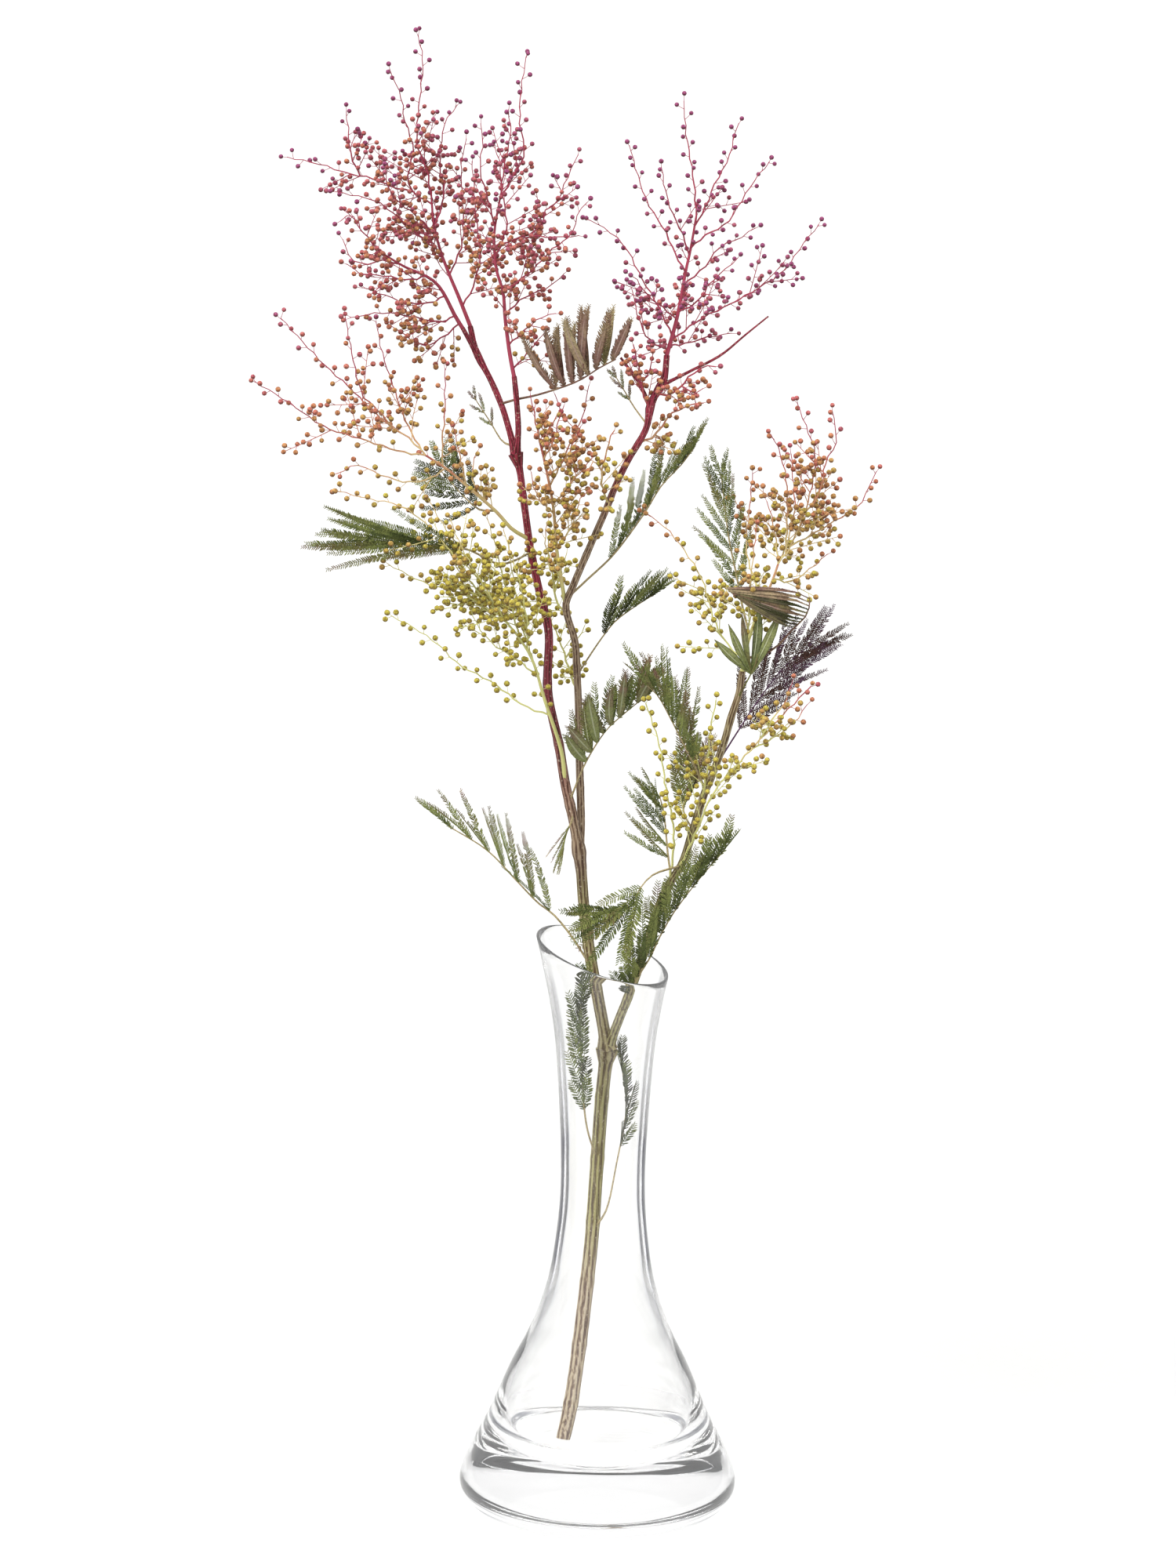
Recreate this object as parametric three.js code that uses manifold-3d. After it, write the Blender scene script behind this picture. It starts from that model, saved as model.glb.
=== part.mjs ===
// A sprig of mimosa (silver wattle) in bud, standing in a clear glass bud vase.
// Millimetres, +Z up, the front faces -Y, and the origin is the centre of the vase's underside.
//
// A forked woody stem stands on the vase's floor and leans on the back of its neck. It carries
// flowering sprays, each a twig with racemes of round buds on thin stalks, and fern-like fronds,
// each a rachis with pairs of pinnae that are cut into leaflets.
import * as THREE from "three";
import { mergeVertices } from "three/addons/utils/BufferGeometryUtils.js";
import Module from "manifold-3d";

// ---- Driving dimensions ----

const SEAT_GAP = 0.3; // from any piece to what carries it
const CLEARANCE = 0.5; // between pieces that only pass each other
const FINEST = 0.12; // smaller unevenness than this is smoothed away

const VASE = {
  sides: 20,
  floor: 24.5, // top of the heavy solid base
  rimHeight: 243.5, // of the slanted rim, on the vase's axis
  rimSlopeX: -0.3, // the rim rises to the left
  rimSlopeY: 0.13, // and a little to the back
  // radius and height, from the foot up past the rim
  outside: [
    [43, 0], [50.5, 1.6], [56.6, 6.2], [59.6, 13.5], [56, 25], [47.6, 42], [38, 64.5], [31, 78.5],
    [25, 94.5], [20.8, 113], [18.1, 146], [20.4, 195], [24, 223.5], [32.4, 262],
  ],
  // radius and height, from the floor up past the rim
  inside: [
    [29, 24.5], [37.5, 31], [41.2, 42], [34.8, 64.5], [22.8, 94.5], [18.6, 113],
    [15.9, 146], [18.2, 195], [21.9, 223.5], [30.4, 262],
  ],
};

const STEM = { sides: 5, spacing: 20 }; // woody stem: facets, and length of each
const TWIG = { sides: 4, spacing: 17, base: 1.0, tip: 0.6 }; // main twig of a spray
const RACEME = { sides: 3, spacing: 21, base: 0.6, tip: 0.42 }; // flowering side twigs

const BUD = {
  radius: 1.5,
  stalk: 0.34, // radius of the thin stalk
  reach: 4.6, // from the twig's axis to the bud's centre
  pitch: 3.4, // along a raceme, from bud to bud
  bare: 0.3, // share of a raceme, from its root, that bears no buds
  stride: 12, // one bud in this many is modelled
};

const SHOOT = {
  pitch: 11, // along a raceme, from one side shoot to the next
  shortest: 8,
  longest: 20,
  share: 0.3, // of the raceme that is left beyond it
  stride: 4, // one side shoot in this many is modelled
};

const RACHIS = { sides: 3, spacing: 18, base: 0.95, tip: 0.65 }; // midrib of a frond

const LEAF = {
  halfThickness: 0.42, // of a pinna, at its rib
  leafletPitch: 9.0, // leaflets are larger than life, and fewer
  leafletReach: 2.0, // out from the rib
  leafletSweep: 3.0, // towards the pinna's tip
};

const GLASS = { color: 0xdfe6e8, roughness: 0.05, transparent: true, opacity: 0.35 };
const BARK = { color: 0x7d5a46, roughness: 0.8 };
const LEAF_GREEN = { color: 0x4d5a35, roughness: 0.75 };
const BUDS = { roughness: 0.7 };

const GOLDEN_ANGLE = THREE.MathUtils.degToRad(137.508);
const DEGREE = Math.PI / 180;

// ---- Routes: points along each axis, root first ----

// The woody stem. Each entry is one limb: its radius at the root and at the end, then its route.
const LIMBS = [
  { radii: [3.0, 2.7], route: [
    [-17, -9, 20], [-11, 0, 53], [-5, 9, 110], [-3, 12, 144], [-1, 13, 179], [1, 13, 200],
  ] },
  {
    radii: [2.4, 1.3],
    route: [
      [1, 13, 200], [-3, 13, 220], [-7, 14, 240], [-10, 12, 261], [-12, 11, 282], [-15, 10, 299],
      [-19, 9, 316], [-22, 8, 333], [-27, 6, 356], [-27, 4, 381], [-31, 2, 398], [-35, 1, 416],
      [-38, 1, 435], [-40, 1, 449], [-42, 1, 457],
    ],
  },
  { radii: [1.3, 1.1], route: [
    [-42, 1, 457], [-45, 3, 467], [-48, 5, 476], [-53, 7, 487], [-59, 9, 498], [-62, 11, 509],
  ] },
  { radii: [1.1, 0.9], route: [[-58, 9, 496], [-65, 3, 509]] },
  { radii: [1.3, 1.1], route: [[-42, 1, 457], [-41, -2, 467], [-42, -5, 481], [-43, -7, 490]] },
  {
    radii: [1.7, 1.2],
    route: [
      [-13, 10, 287], [-12, 14, 298], [-13, 18, 321], [-14, 18, 348], [-15, 16, 365], [-16, 12, 377],
      [-20, 4, 392], [-17, 0, 402], [-10, -5, 420], [-4, -9, 435], [0, -12, 446], [5, -14, 457],
      [12, -16, 470], [14, -17, 481], [19, -18, 491], [20, -18, 501],
    ],
  },
  { radii: [0.8, 0.5], route: [
    [18, -18, 488], [30, -21, 495], [42, -25, 502], [52, -29, 511], [61, -33, 519],
  ] },
  { radii: [0.8, 0.5], route: [[13, -17, 479], [10, -14, 487], [5, -12, 494], [1, -11, 499]] },
  {
    radii: [2.0, 1.4],
    route: [
      [1, 13, 200], [7, 7, 218], [9, 4, 224], [15, -3, 244], [21, -9, 266], [27, -12, 280],
      [31, -13, 287], [35, -15, 301], [39, -17, 316], [43, -18, 327], [47, -19, 339], [50, -20, 351],
      [53, -20, 361], [54, -20, 370],
    ],
  },
];

// The sprays. The first route of each is its twig, which grows from the woody stem, and the
// others are racemes that branch from it or from each other.
const SPRAYS = {
  spray_left_crown: {
    colour: 0x8a3f33,
    routes: [
      [[-62, 11, 509], [-67, 12, 521], [-71, 13, 530], [-75, 15, 540], [-78, 17, 551], [-79, 18, 561]],
      [
        [-79, 18, 561], [-81, 16, 573], [-85, 14, 583], [-85, 12, 594], [-84, 11, 605],
        [-83, 9, 618], [-85, 8, 629],
      ],
      [
        [-79, 18, 559], [-87, 19, 564], [-89, 20, 571], [-87, 20, 582], [-91, 18, 595],
        [-92, 16, 603], [-97, 13, 615],
      ],
      [
        [-87, 19, 564], [-96, 20, 566], [-104, 22, 569], [-115, 24, 571], [-125, 26, 574],
        [-140, 28, 577],
      ],
      [[-77, 17, 550], [-74, 22, 562], [-76, 25, 577], [-74, 27, 592], [-69, 28, 600]],
      [[-75, 15, 539], [-84, 8, 547], [-93, 2, 555], [-101, -2, 561], [-108, -4, 563], [-118, -6, 565]],
      [[-77, 16, 546], [-85, 6, 555], [-92, -2, 561], [-96, -8, 567], [-97, -12, 575]],
      [[-71, 13, 530], [-66, 20, 543], [-66, 24, 558], [-67, 26, 575], [-65, 27, 586]],
      [[-65, 12, 517], [-61, 9, 526], [-58, 7, 539], [-60, 6, 554], [-61, 5, 567], [-62, 5, 578]],
      [[-73, 14, 535], [-81, 30, 545], [-90, 38, 548], [-95, 42, 556]],
    ],
  },
  spray_low_left_crown: {
    colour: 0x8f4a34,
    routes: [
      [[-65, 3, 509], [-68, 1, 514], [-76, -4, 528], [-89, -10, 535], [-97, -14, 540]],
      [[-97, -14, 540], [-101, -17, 544], [-107, -20, 551], [-111, -22, 557], [-115, -23, 554]],
      [[-89, -10, 535], [-98, -6, 537], [-106, -3, 535], [-112, -1, 538], [-115, 0, 545]],
      [[-80, -6, 531], [-87, -16, 530], [-97, -22, 532], [-106, -26, 533], [-112, -28, 537]],
      [[-73, -2, 522], [-79, -10, 520], [-89, -16, 521], [-97, -20, 524], [-106, -22, 527]],
      [[-68, 1, 514], [-74, -6, 512], [-84, -10, 514], [-97, -13, 516], [-111, -16, 514]],
      [[-66, 2, 511], [-73, 4, 505], [-81, 5, 501], [-90, 6, 506], [-95, 6, 509]],
    ],
  },
  spray_middle_crown: {
    colour: 0x8c4434,
    routes: [
      [
        [-43, -7, 490], [-45, -8, 500], [-47, -9, 514], [-48, -10, 525], [-51, -10, 535],
        [-52, -11, 549], [-50, -12, 563],
      ],
      [
        [-50, -12, 563], [-43, -14, 576], [-40, -15, 584], [-42, -15, 594], [-42, -14, 606],
        [-40, -12, 622],
      ],
      [[-50, -12, 563], [-48, -8, 579], [-46, -5, 590], [-47, -4, 600]],
      [[-52, -11, 552], [-55, -18, 565], [-58, -22, 576], [-57, -24, 588], [-58, -25, 595]],
      [[-51, -10, 539], [-47, -20, 553], [-49, -26, 569], [-50, -29, 580], [-52, -30, 586]],
      [[-51, -11, 544], [-44, -15, 547], [-35, -19, 549], [-26, -22, 549], [-17, -24, 550]],
      [
        [-44, -15, 547], [-33, -11, 552], [-31, -9, 559], [-26, -8, 563], [-23, -7, 571],
        [-18, -6, 582],
      ],
      [
        [-48, -10, 525], [-36, -17, 535], [-28, -22, 544], [-21, -29, 550], [-17, -31, 560],
        [-14, -32, 564],
      ],
      [[-47, -9, 516], [-40, -2, 522], [-33, 3, 525], [-27, 6, 528], [-23, 8, 532]],
      [[-45, -8, 503], [-39, -16, 510], [-32, -22, 516], [-26, -25, 518]],
      [[-44, -7, 493], [-38, -2, 499], [-34, 2, 504], [-31, 4, 507]],
    ],
  },
  spray_right_crown: {
    colour: 0x86323c,
    routes: [
      [[20, -18, 501], [24, -18, 517], [27, -17, 535], [29, -16, 545], [31, -15, 558]],
      [[31, -15, 558], [30, -14, 570], [28, -13, 582], [26, -12, 593], [25, -12, 605]],
      [[30, -15, 554], [35, -10, 562], [39, -7, 572], [44, -5, 581], [46, -4, 590], [48, -4, 596]],
      [[29, -16, 545], [35, -22, 551], [43, -27, 556], [48, -30, 564], [54, -32, 574], [60, -33, 582]],
      [[27, -17, 535], [23, -12, 542], [18, -8, 552], [12, -5, 561], [8, -3, 570], [3, -2, 586]],
      [[29, -16, 542], [25, -22, 552], [21, -26, 560], [18, -29, 569], [16, -31, 579]],
      [[26, -17, 530], [35, -10, 537], [41, -6, 545], [48, -4, 548], [56, -3, 553]],
      [
        [22, -18, 507], [34, -14, 516], [46, -11, 522], [58, -9, 529], [68, -7, 536], [75, -5, 546],
        [82, -4, 555],
      ],
      [[24, -18, 519], [32, -26, 524], [37, -31, 532], [43, -34, 538], [48, -36, 543]],
      [[22, -18, 509], [16, -12, 521], [9, -8, 532], [3, -5, 543], [-4, -3, 550], [-13, -2, 555]],
      [[23, -18, 516], [17, -26, 522], [11, -30, 527], [7, -33, 533], [4, -34, 535]],
      [[21, -18, 503], [15, -22, 506], [11, -27, 510], [8, -30, 517], [5, -32, 529]],
      [[21, -18, 505], [27, -10, 505], [35, -5, 507], [41, -2, 508], [47, 0, 509]],
    ],
  },
  spray_fork_left: {
    colour: 0x86323c,
    routes: [
      [[14, -17, 478], [10, -21, 487], [8, -25, 498], [6, -27, 506]],
      [[10, -22, 489], [13, -28, 496], [14, -31, 502]],
    ],
  },
  spray_fork_right: {
    colour: 0x8f4a34,
    routes: [
      [[16, -17, 484], [23, -24, 486], [30, -29, 494], [36, -32, 498], [40, -33, 498]],
      [[26, -27, 489], [31, -31, 487], [35, -33, 489]],
    ],
  },
  spray_fork_low: {
    colour: 0x9a6a38,
    routes: [
      [[9, -15, 464], [16, -10, 467], [22, -6, 475], [30, -4, 479], [36, -3, 480]],
      [[16, -10, 467], [19, -4, 464], [21, -1, 465]],
    ],
  },
  spray_fork_front: {
    colour: 0x9c7a3a,
    routes: [
      [[-3, -10, 438], [-6, -20, 448], [-5, -26, 458], [-3, -30, 467], [-1, -32, 471]],
      [[-6, -23, 453], [-9, -29, 458], [-11, -32, 455]],
    ],
  },
  spray_centre: {
    colour: 0x9a5f33,
    routes: [
      [[-20, 4, 392], [-24, -4, 416], [-26, -11, 437], [-30, -18, 457], [-32, -21, 465]],
      [[-32, -21, 465], [-34, -22, 475], [-36, -23, 484]],
      [[-30, -18, 457], [-26, -26, 466], [-24, -31, 475], [-22, -34, 481]],
      [[-28, -15, 449], [-21, -22, 458], [-17, -26, 467], [-15, -28, 472]],
      [[-31, -19, 461], [-28, -13, 469], [-24, -9, 477], [-26, -7, 483]],
      [[-26, -11, 437], [-20, -20, 446], [-13, -27, 455], [-10, -30, 459]],
      [[-24, -4, 418], [-18, -14, 429], [-15, -20, 440], [-11, -24, 446]],
      [[-26, -10, 433], [-31, -22, 440], [-34, -28, 447], [-35, -31, 453]],
      [[-27, -14, 445], [-19, -7, 463], [-14, -2, 475], [-12, 1, 486]],
      [[-22, 0, 406], [-27, -12, 415], [-29, -18, 423], [-28, -22, 431]],
    ],
  },
  spray_left: {
    colour: 0x94593a,
    routes: [
      [
        [-36, 1, 421], [-43, -4, 426], [-50, -8, 434], [-62, -14, 445], [-70, -17, 452],
        [-79, -20, 458],
      ],
      [
        [-79, -20, 458], [-86, -20, 465], [-94, -20, 470], [-103, -21, 478], [-112, -22, 487],
        [-121, -23, 495], [-139, -25, 514],
      ],
      [
        [-79, -20, 458], [-89, -26, 460], [-106, -33, 466], [-118, -37, 470], [-126, -40, 475],
        [-134, -43, 481], [-148, -47, 490],
      ],
      [
        [-71, -17, 452], [-78, -10, 447], [-88, -5, 445], [-100, -1, 448], [-108, 1, 451],
        [-117, 2, 447],
      ],
      [
        [-81, -20, 459], [-87, -12, 470], [-91, -7, 479], [-94, -4, 487], [-98, -1, 498],
        [-101, 2, 511],
      ],
      [[-72, -17, 453], [-72, -24, 465], [-71, -28, 475], [-71, -30, 485], [-71, -31, 495]],
      [[-93, -20, 469], [-99, -30, 478], [-105, -36, 485], [-109, -40, 502], [-112, -42, 518]],
      [[-62, -14, 445], [-64, -22, 455], [-66, -27, 465], [-67, -29, 470]],
      [[-54, -9, 437], [-59, 0, 443], [-60, 6, 451], [-58, 9, 457]],
    ],
  },
  spray_low_left: {
    colour: 0x9a8a34,
    routes: [
      [[-19, 9, 316], [-21, 1, 332], [-28, -8, 354], [-33, -14, 371], [-39, -19, 382], [-46, -23, 391]],
      [
        [-46, -23, 391], [-60, -27, 407], [-69, -31, 421], [-79, -34, 432], [-89, -37, 439],
        [-102, -40, 442], [-114, -42, 445],
      ],
      [[-44, -21, 388], [-51, -31, 401], [-59, -38, 415], [-64, -42, 425], [-68, -44, 435]],
      [[-39, -19, 382], [-43, -13, 396], [-47, -9, 408], [-50, -17, 422], [-53, -20, 432]],
      [[-33, -14, 371], [-38, -12, 386], [-41, -11, 400], [-43, -12, 412], [-44, -14, 419]],
      [[-36, -16, 376], [-36, -26, 391], [-39, -33, 407], [-43, -37, 420], [-46, -39, 430]],
      [[-45, -22, 389], [-52, -15, 392], [-60, -10, 398], [-64, -7, 406], [-67, -5, 413]],
      [
        [-46, -23, 391], [-55, -26, 397], [-64, -27, 402], [-76, -28, 405], [-85, -29, 409],
        [-94, -30, 414],
      ],
      [[-31, -12, 365], [-40, -18, 373], [-50, -22, 380], [-57, -25, 389], [-59, -27, 395]],
      [
        [-26, -5, 348], [-37, -8, 352], [-50, -12, 362], [-64, -16, 370], [-72, -18, 378],
        [-83, -21, 386], [-92, -23, 391],
      ],
      [[-46, -23, 391], [-56, -20, 405], [-63, -18, 417], [-71, -17, 428], [-77, -16, 438]],
    ],
  },
  spray_back_stem: {
    colour: 0xa59a3c,
    routes: [
      [[-14, 18, 352], [-18, 25, 362], [-22, 29, 373], [-26, 31, 382], [-29, 32, 391]],
      [[-20, 27, 367], [-15, 32, 374], [-12, 35, 380]],
    ],
  },
  spray_above_fork: {
    colour: 0xa59a3c,
    routes: [
      [[-19, 6, 387], [-24, 12, 394], [-26, 15, 404], [-28, 17, 413], [-27, 18, 422]],
      [[-25, 13, 398], [-22, 19, 406], [-20, 22, 413]],
    ],
  },
  spray_right_low: {
    colour: 0xa08c3a,
    routes: [[[25, -11, 277], [27, -20, 300], [23, -27, 322], [20, -31, 340], [14, -35, 358]]],
  },
  spray_right_long: {
    colour: 0xa07a38,
    routes: [
      [
        [29, -13, 284], [35, -22, 299], [43, -29, 320], [51, -33, 331], [60, -36, 342],
        [70, -38, 354], [82, -39, 367],
      ],
    ],
  },
  spray_right_middle: {
    colour: 0xa59a3c,
    routes: [[[38, -16, 314], [40, -26, 328], [41, -32, 346], [43, -35, 360]]],
  },
  spray_right_top: {
    colour: 0x96703a,
    routes: [
      [[54, -20, 370], [56, -20, 382], [60, -20, 394], [65, -19, 406], [68, -18, 415]],
      [[68, -18, 415], [67, -14, 424], [65, -11, 434], [63, -9, 440]],
      [
        [68, -18, 415], [73, -20, 423], [78, -22, 436], [81, -24, 449], [82, -25, 462],
        [78, -26, 473], [74, -26, 483],
      ],
      [[73, -20, 423], [84, -18, 429], [94, -16, 435], [102, -15, 441], [108, -14, 454]],
      [[78, -22, 436], [84, -28, 446], [86, -32, 459], [90, -34, 469], [88, -35, 481]],
      [[70, -19, 420], [71, -26, 436], [70, -31, 452], [66, -34, 466], [63, -36, 471]],
      [[66, -19, 409], [74, -12, 407], [83, -8, 413], [89, -6, 418]],
      [[63, -20, 399], [58, -12, 409], [55, -7, 420], [56, -4, 436], [57, -3, 451]],
      [[68, -18, 415], [72, -8, 423], [75, -2, 436], [74, 2, 449], [73, 4, 459]],
      [[54, -20, 374], [44, -14, 386], [37, -10, 406], [31, -8, 416], [22, -6, 427], [12, -4, 434]],
      [[56, -20, 379], [56, -30, 393], [56, -36, 407], [57, -39, 421], [58, -41, 434]],
    ],
  },
};

// The fronds. pairs of pinnae start at the share "from" of the rachis, and leave it at "spread"
// degrees. "face" is where the frond's upper side looks, and "fold" lifts both rows towards it.
const FRONDS = {
  frond_vase_left: {
    route: [[-4, 11, 151], [-7, 3, 167], [-9, 0, 182], [-10, -1, 199], [-11, -1, 216], [-10, 0, 230]],
    face: [0, -1, 0.2], pairs: 3, from: 0.35, length: 17, spread: 16, fold: 20,
  },
  frond_vase_right: {
    route: [
      [-4, 9, 121], [2, 5, 132], [6, 2, 154], [9, 0, 172], [9, -2, 184], [7, -4, 197], [6, -4, 203],
    ],
    face: [1, -0.6, 0], pairs: 3, from: 0.5, length: 14, spread: 20, fold: 20,
  },
  frond_rim_left: {
    route: [
      [-8, 13, 235], [-15, 17, 248], [-23, 20, 257], [-30, 21, 262], [-39, 22, 271], [-52, 23, 284],
      [-69, 25, 294],
    ],
    face: [0.6, -0.2, 1], pairs: 4, from: 0.35, length: 30, spread: 34, fold: 50,
  },
  frond_rim_front: {
    route: [
      [30, -13, 286], [19, -24, 284], [13, -31, 279], [10, -34, 274], [5, -36, 271], [-2, -38, 270],
    ],
    face: [0, -1, 0], pairs: 3, from: 0.55, length: 27, spread: 22, fold: 0,
  },
  frond_rim_right: {
    route: [
      [9, 4, 224], [13, -8, 236], [18, -14, 246], [22, -18, 256], [28, -22, 268], [38, -27, 283],
      [48, -31, 296],
    ],
    face: [-1, -0.2, 0.8], pairs: 6, from: 0.2, length: 27, spread: 32, fold: 55,
  },
  frond_right_lower: {
    route: [[27, -12, 279], [25, -4, 288], [24, 1, 297], [23, 4, 305], [21, 6, 312]],
    face: [-1, -0.3, 0.4], pairs: 3, from: 0.3, length: 24, spread: 50, fold: 60,
  },
  frond_right_inner: {
    route: [[35, -15, 301], [31, -6, 308], [33, -3, 317], [36, -1, 327]],
    face: [-0.5, -1, 0], pairs: 2, from: 0.4, length: 22, spread: 24, fold: 20,
  },
  frond_right_upper: {
    route: [[40, -17, 319], [32, -24, 336], [25, -29, 350], [19, -33, 361], [13, -36, 367]],
    face: [0.5, -0.3, 1], pairs: 5, from: 0.3, length: 27, spread: 42, fold: 35,
  },
  frond_right_purple: {
    route: [[44, -18, 329], [54, -8, 344], [61, -2, 354], [72, 4, 368], [84, 8, 378]],
    face: [0, -1, 0.2], pairs: 4, from: 0.4, length: 27, spread: 24, fold: 10,
  },
  frond_right_rolled: {
    route: [[55, -20, 375], [66, -26, 380], [74, -29, 389], [80, -31, 396], [81, -32, 403]],
    face: [-1, 0, 0.1], pairs: 4, from: 0.55, length: 32, spread: 84, fold: 62,
  },
  frond_right_folded: {
    route: [[52, -20, 359], [56, -27, 367], [59, -30, 374], [60, -31, 379]],
    face: [0, -1, 0.3], pairs: 2, from: 0.75, length: 25, spread: 22, fold: 0,
  },
  frond_right_tall: {
    route: [[57, -20, 385], [54, -9, 395], [51, -4, 409], [48, -2, 422], [46, 0, 435], [44, 2, 450]],
    face: [-0.4, -1, 0.2], pairs: 4, from: 0.3, length: 21, spread: 30, fold: 10,
  },
  frond_along_fork: {
    route: [
      [-19, 3, 397], [-11, 6, 404], [0, 6, 415], [12, 5, 432], [19, 4, 444], [27, 3, 453],
      [32, 2, 460],
    ],
    face: [-0.8, 0.6, 0.6], pairs: 5, from: 0.3, length: 24, spread: 26, fold: 55,
  },
  frond_back_small: {
    route: [[-14, 17, 362], [-9, 22, 370], [-4, 26, 377], [1, 29, 383], [9, 31, 389], [17, 33, 394]],
    face: [-0.6, 0, 1], pairs: 3, from: 0.45, length: 17, spread: 26, fold: 45,
  },
  frond_stem_folded: {
    route: [[-17, 10, 308], [-11, -2, 326], [-3, -9, 341], [5, -14, 350], [16, -18, 360]],
    face: [-0.7, -0.2, 0.7], pairs: 4, from: 0.35, length: 25, spread: 50, fold: 65,
  },
  frond_far_left: {
    route: [
      [-36, 1, 416], [-42, -8, 413], [-49, -17, 413], [-60, -22, 419], [-69, -28, 421],
      [-85, -34, 423], [-101, -38, 424],
    ],
    face: [0, -1, 0], pairs: 3, from: 0.5, length: 42, spread: 12, fold: 0,
  },
  frond_upper: {
    route: [
      [-49, 5, 477], [-42, -2, 480], [-32, -8, 483], [-17, -14, 489], [-8, -17, 495],
      [-1, -19, 499],
    ],
    face: [-0.5, 0, 1], pairs: 5, from: 0.45, length: 28, spread: 66, fold: 76,
  },
  frond_left_dark: {
    route: [[-50, -8, 434], [-57, 3, 433], [-64, 9, 438], [-70, 13, 444], [-74, 15, 448]],
    face: [0, -1, 0], pairs: 3, from: 0.4, length: 20, spread: 50, fold: 0,
  },
  frond_left_thin: {
    route: [[-43, 1, 460], [-48, 12, 461], [-53, 18, 468], [-60, 21, 478]],
    face: [0, -1, 0], pairs: 2, from: 0.5, length: 15, spread: 40, fold: 0,
  },
  frond_fork_thin: {
    route: [[13, -16, 472], [7, -5, 478], [3, 0, 484], [-1, 3, 490]],
    face: [0, -1, 0], pairs: 2, from: 0.5, length: 14, spread: 34, fold: 0,
  },
  frond_stem_hanging: {
    route: [[-15, 10, 302], [-16, 2, 301], [-18, -1, 297], [-20, -2, 289]],
    face: [-1, -0.5, 0], pairs: 2, from: 0.5, length: 16, spread: 20, fold: 0,
  },
};

// ---- Solids ----

const wasm = await Module();
wasm.setup();

// Closes a row of rings, all with the same number of corners, into one geometry.
function loft(rings) {
  const sides = rings[0].length;
  const faces = [];
  for (let ring = 0; ring < rings.length - 1; ring++)
    for (let side = 0; side < sides; side++) {
      const next = (side + 1) % sides;
      const a = ring * sides + side;
      const b = ring * sides + next;
      faces.push(a, b, a + sides, b, b + sides, a + sides);
    }
  const last = (rings.length - 1) * sides;
  for (let side = 1; side < sides - 1; side++) {
    faces.push(0, side + 1, side);
    faces.push(last, last + side, last + side + 1);
  }
  return closedGeometry(rings.flat(), faces);
}

function closedGeometry(points, faces) {
  const geometry = new THREE.BufferGeometry().setFromPoints(points);
  geometry.setIndex(faces);
  return geometry;
}

// A geometry whose corners are shared already, as a manifold-3d solid.
function toSolid(geometry) {
  return new wasm.Manifold(
    new wasm.Mesh({
      numProp: 3,
      vertProperties: new Float32Array(geometry.attributes.position.array),
      triVerts: new Uint32Array(geometry.index.array),
    }),
  );
}

function toGeometry(solid) {
  const mesh = solid.getMesh();
  const geometry = new THREE.BufferGeometry();
  geometry.setAttribute("position", new THREE.BufferAttribute(mesh.vertProperties, 3));
  geometry.setIndex(new THREE.BufferAttribute(mesh.triVerts, 1));
  return geometry;
}

const join = (geometries) => wasm.Manifold.union(geometries.map(toSolid));

// The piece itself, without loose scraps and without the slivers that joining leaves.
function tidied(solid) {
  const bodies = solid.asOriginal().simplify(FINEST).decompose();
  return bodies.sort((a, b) => b.volume() - a.volume())[0];
}

// A ring of corners round a point, square to the axis, with its first corner at "turn".
function ringAround(centre, axis, radius, sides, turn = 0) {
  const [across, up] = squareTo(axis);
  return Array.from({ length: sides }, (_, side) => {
    const angle = turn + (2 * Math.PI * side) / sides;
    return centre
      .clone()
      .addScaledVector(across, radius * Math.cos(angle))
      .addScaledVector(up, radius * Math.sin(angle));
  });
}

// Two unit vectors square to an axis and to each other, in right-handed order with it.
function squareTo(axis) {
  const pole = Math.abs(axis.z) < 0.9 ? new THREE.Vector3(0, 0, 1) : new THREE.Vector3(1, 0, 0);
  const across = pole.cross(axis).normalize();
  return [across, axis.clone().cross(across)];
}

// An axis of straight stretches along a smooth route. Everything that it bears is rooted on the
// stretches themselves, so that nothing floats beside a coarsely faceted tube.
class Axis {
  constructor(points, { sides, spacing, base, tip }) {
    this.curve = new THREE.CatmullRomCurve3(points, false, "catmullrom", 0.5);
    this.length = this.curve.getLength();
    this.segments = Math.max(1, Math.round(this.length / spacing));
    this.frames = this.curve.computeFrenetFrames(this.segments, false);
    this.stations = this.curve.getSpacedPoints(this.segments);
    this.sides = sides;
    this.radii = [base, tip];
  }

  radiusAt(share) {
    return THREE.MathUtils.lerp(...this.radii, share);
  }

  pointAt(share) {
    const place = Math.min(share, 0.9999) * this.segments;
    const i = Math.floor(place);
    return this.stations[i].clone().lerp(this.stations[i + 1], place - i);
  }

  tangentAt(share) {
    return this.curve.getTangentAt(Math.min(1, share));
  }

  tube(grown = 0) {
    const { tangents, normals, binormals } = this.frames;
    const rings = this.stations.map((station, i) => {
      const centre = station.clone();
      if (i === 0) centre.addScaledVector(tangents[i], -grown);
      if (i === this.segments) centre.addScaledVector(tangents[i], grown);
      const radius = this.radiusAt(i / this.segments) + grown;
      return Array.from({ length: this.sides }, (_, side) => {
        const angle = (2 * Math.PI * side) / this.sides;
        return centre
          .clone()
          .addScaledVector(normals[i], radius * Math.cos(angle))
          .addScaledVector(binormals[i], radius * Math.sin(angle));
      });
    });
    return loft(rings);
  }
}

// ---- Growth rules ----

// A number from 0 to 1 that depends on the two whole numbers alone.
function chance(family, member) {
  const value = Math.sin(family * 12.9898 + member * 78.233) * 43758.5453;
  return value - Math.floor(value);
}

const vector = ([x, y, z]) => new THREE.Vector3(x, y, z);

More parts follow.
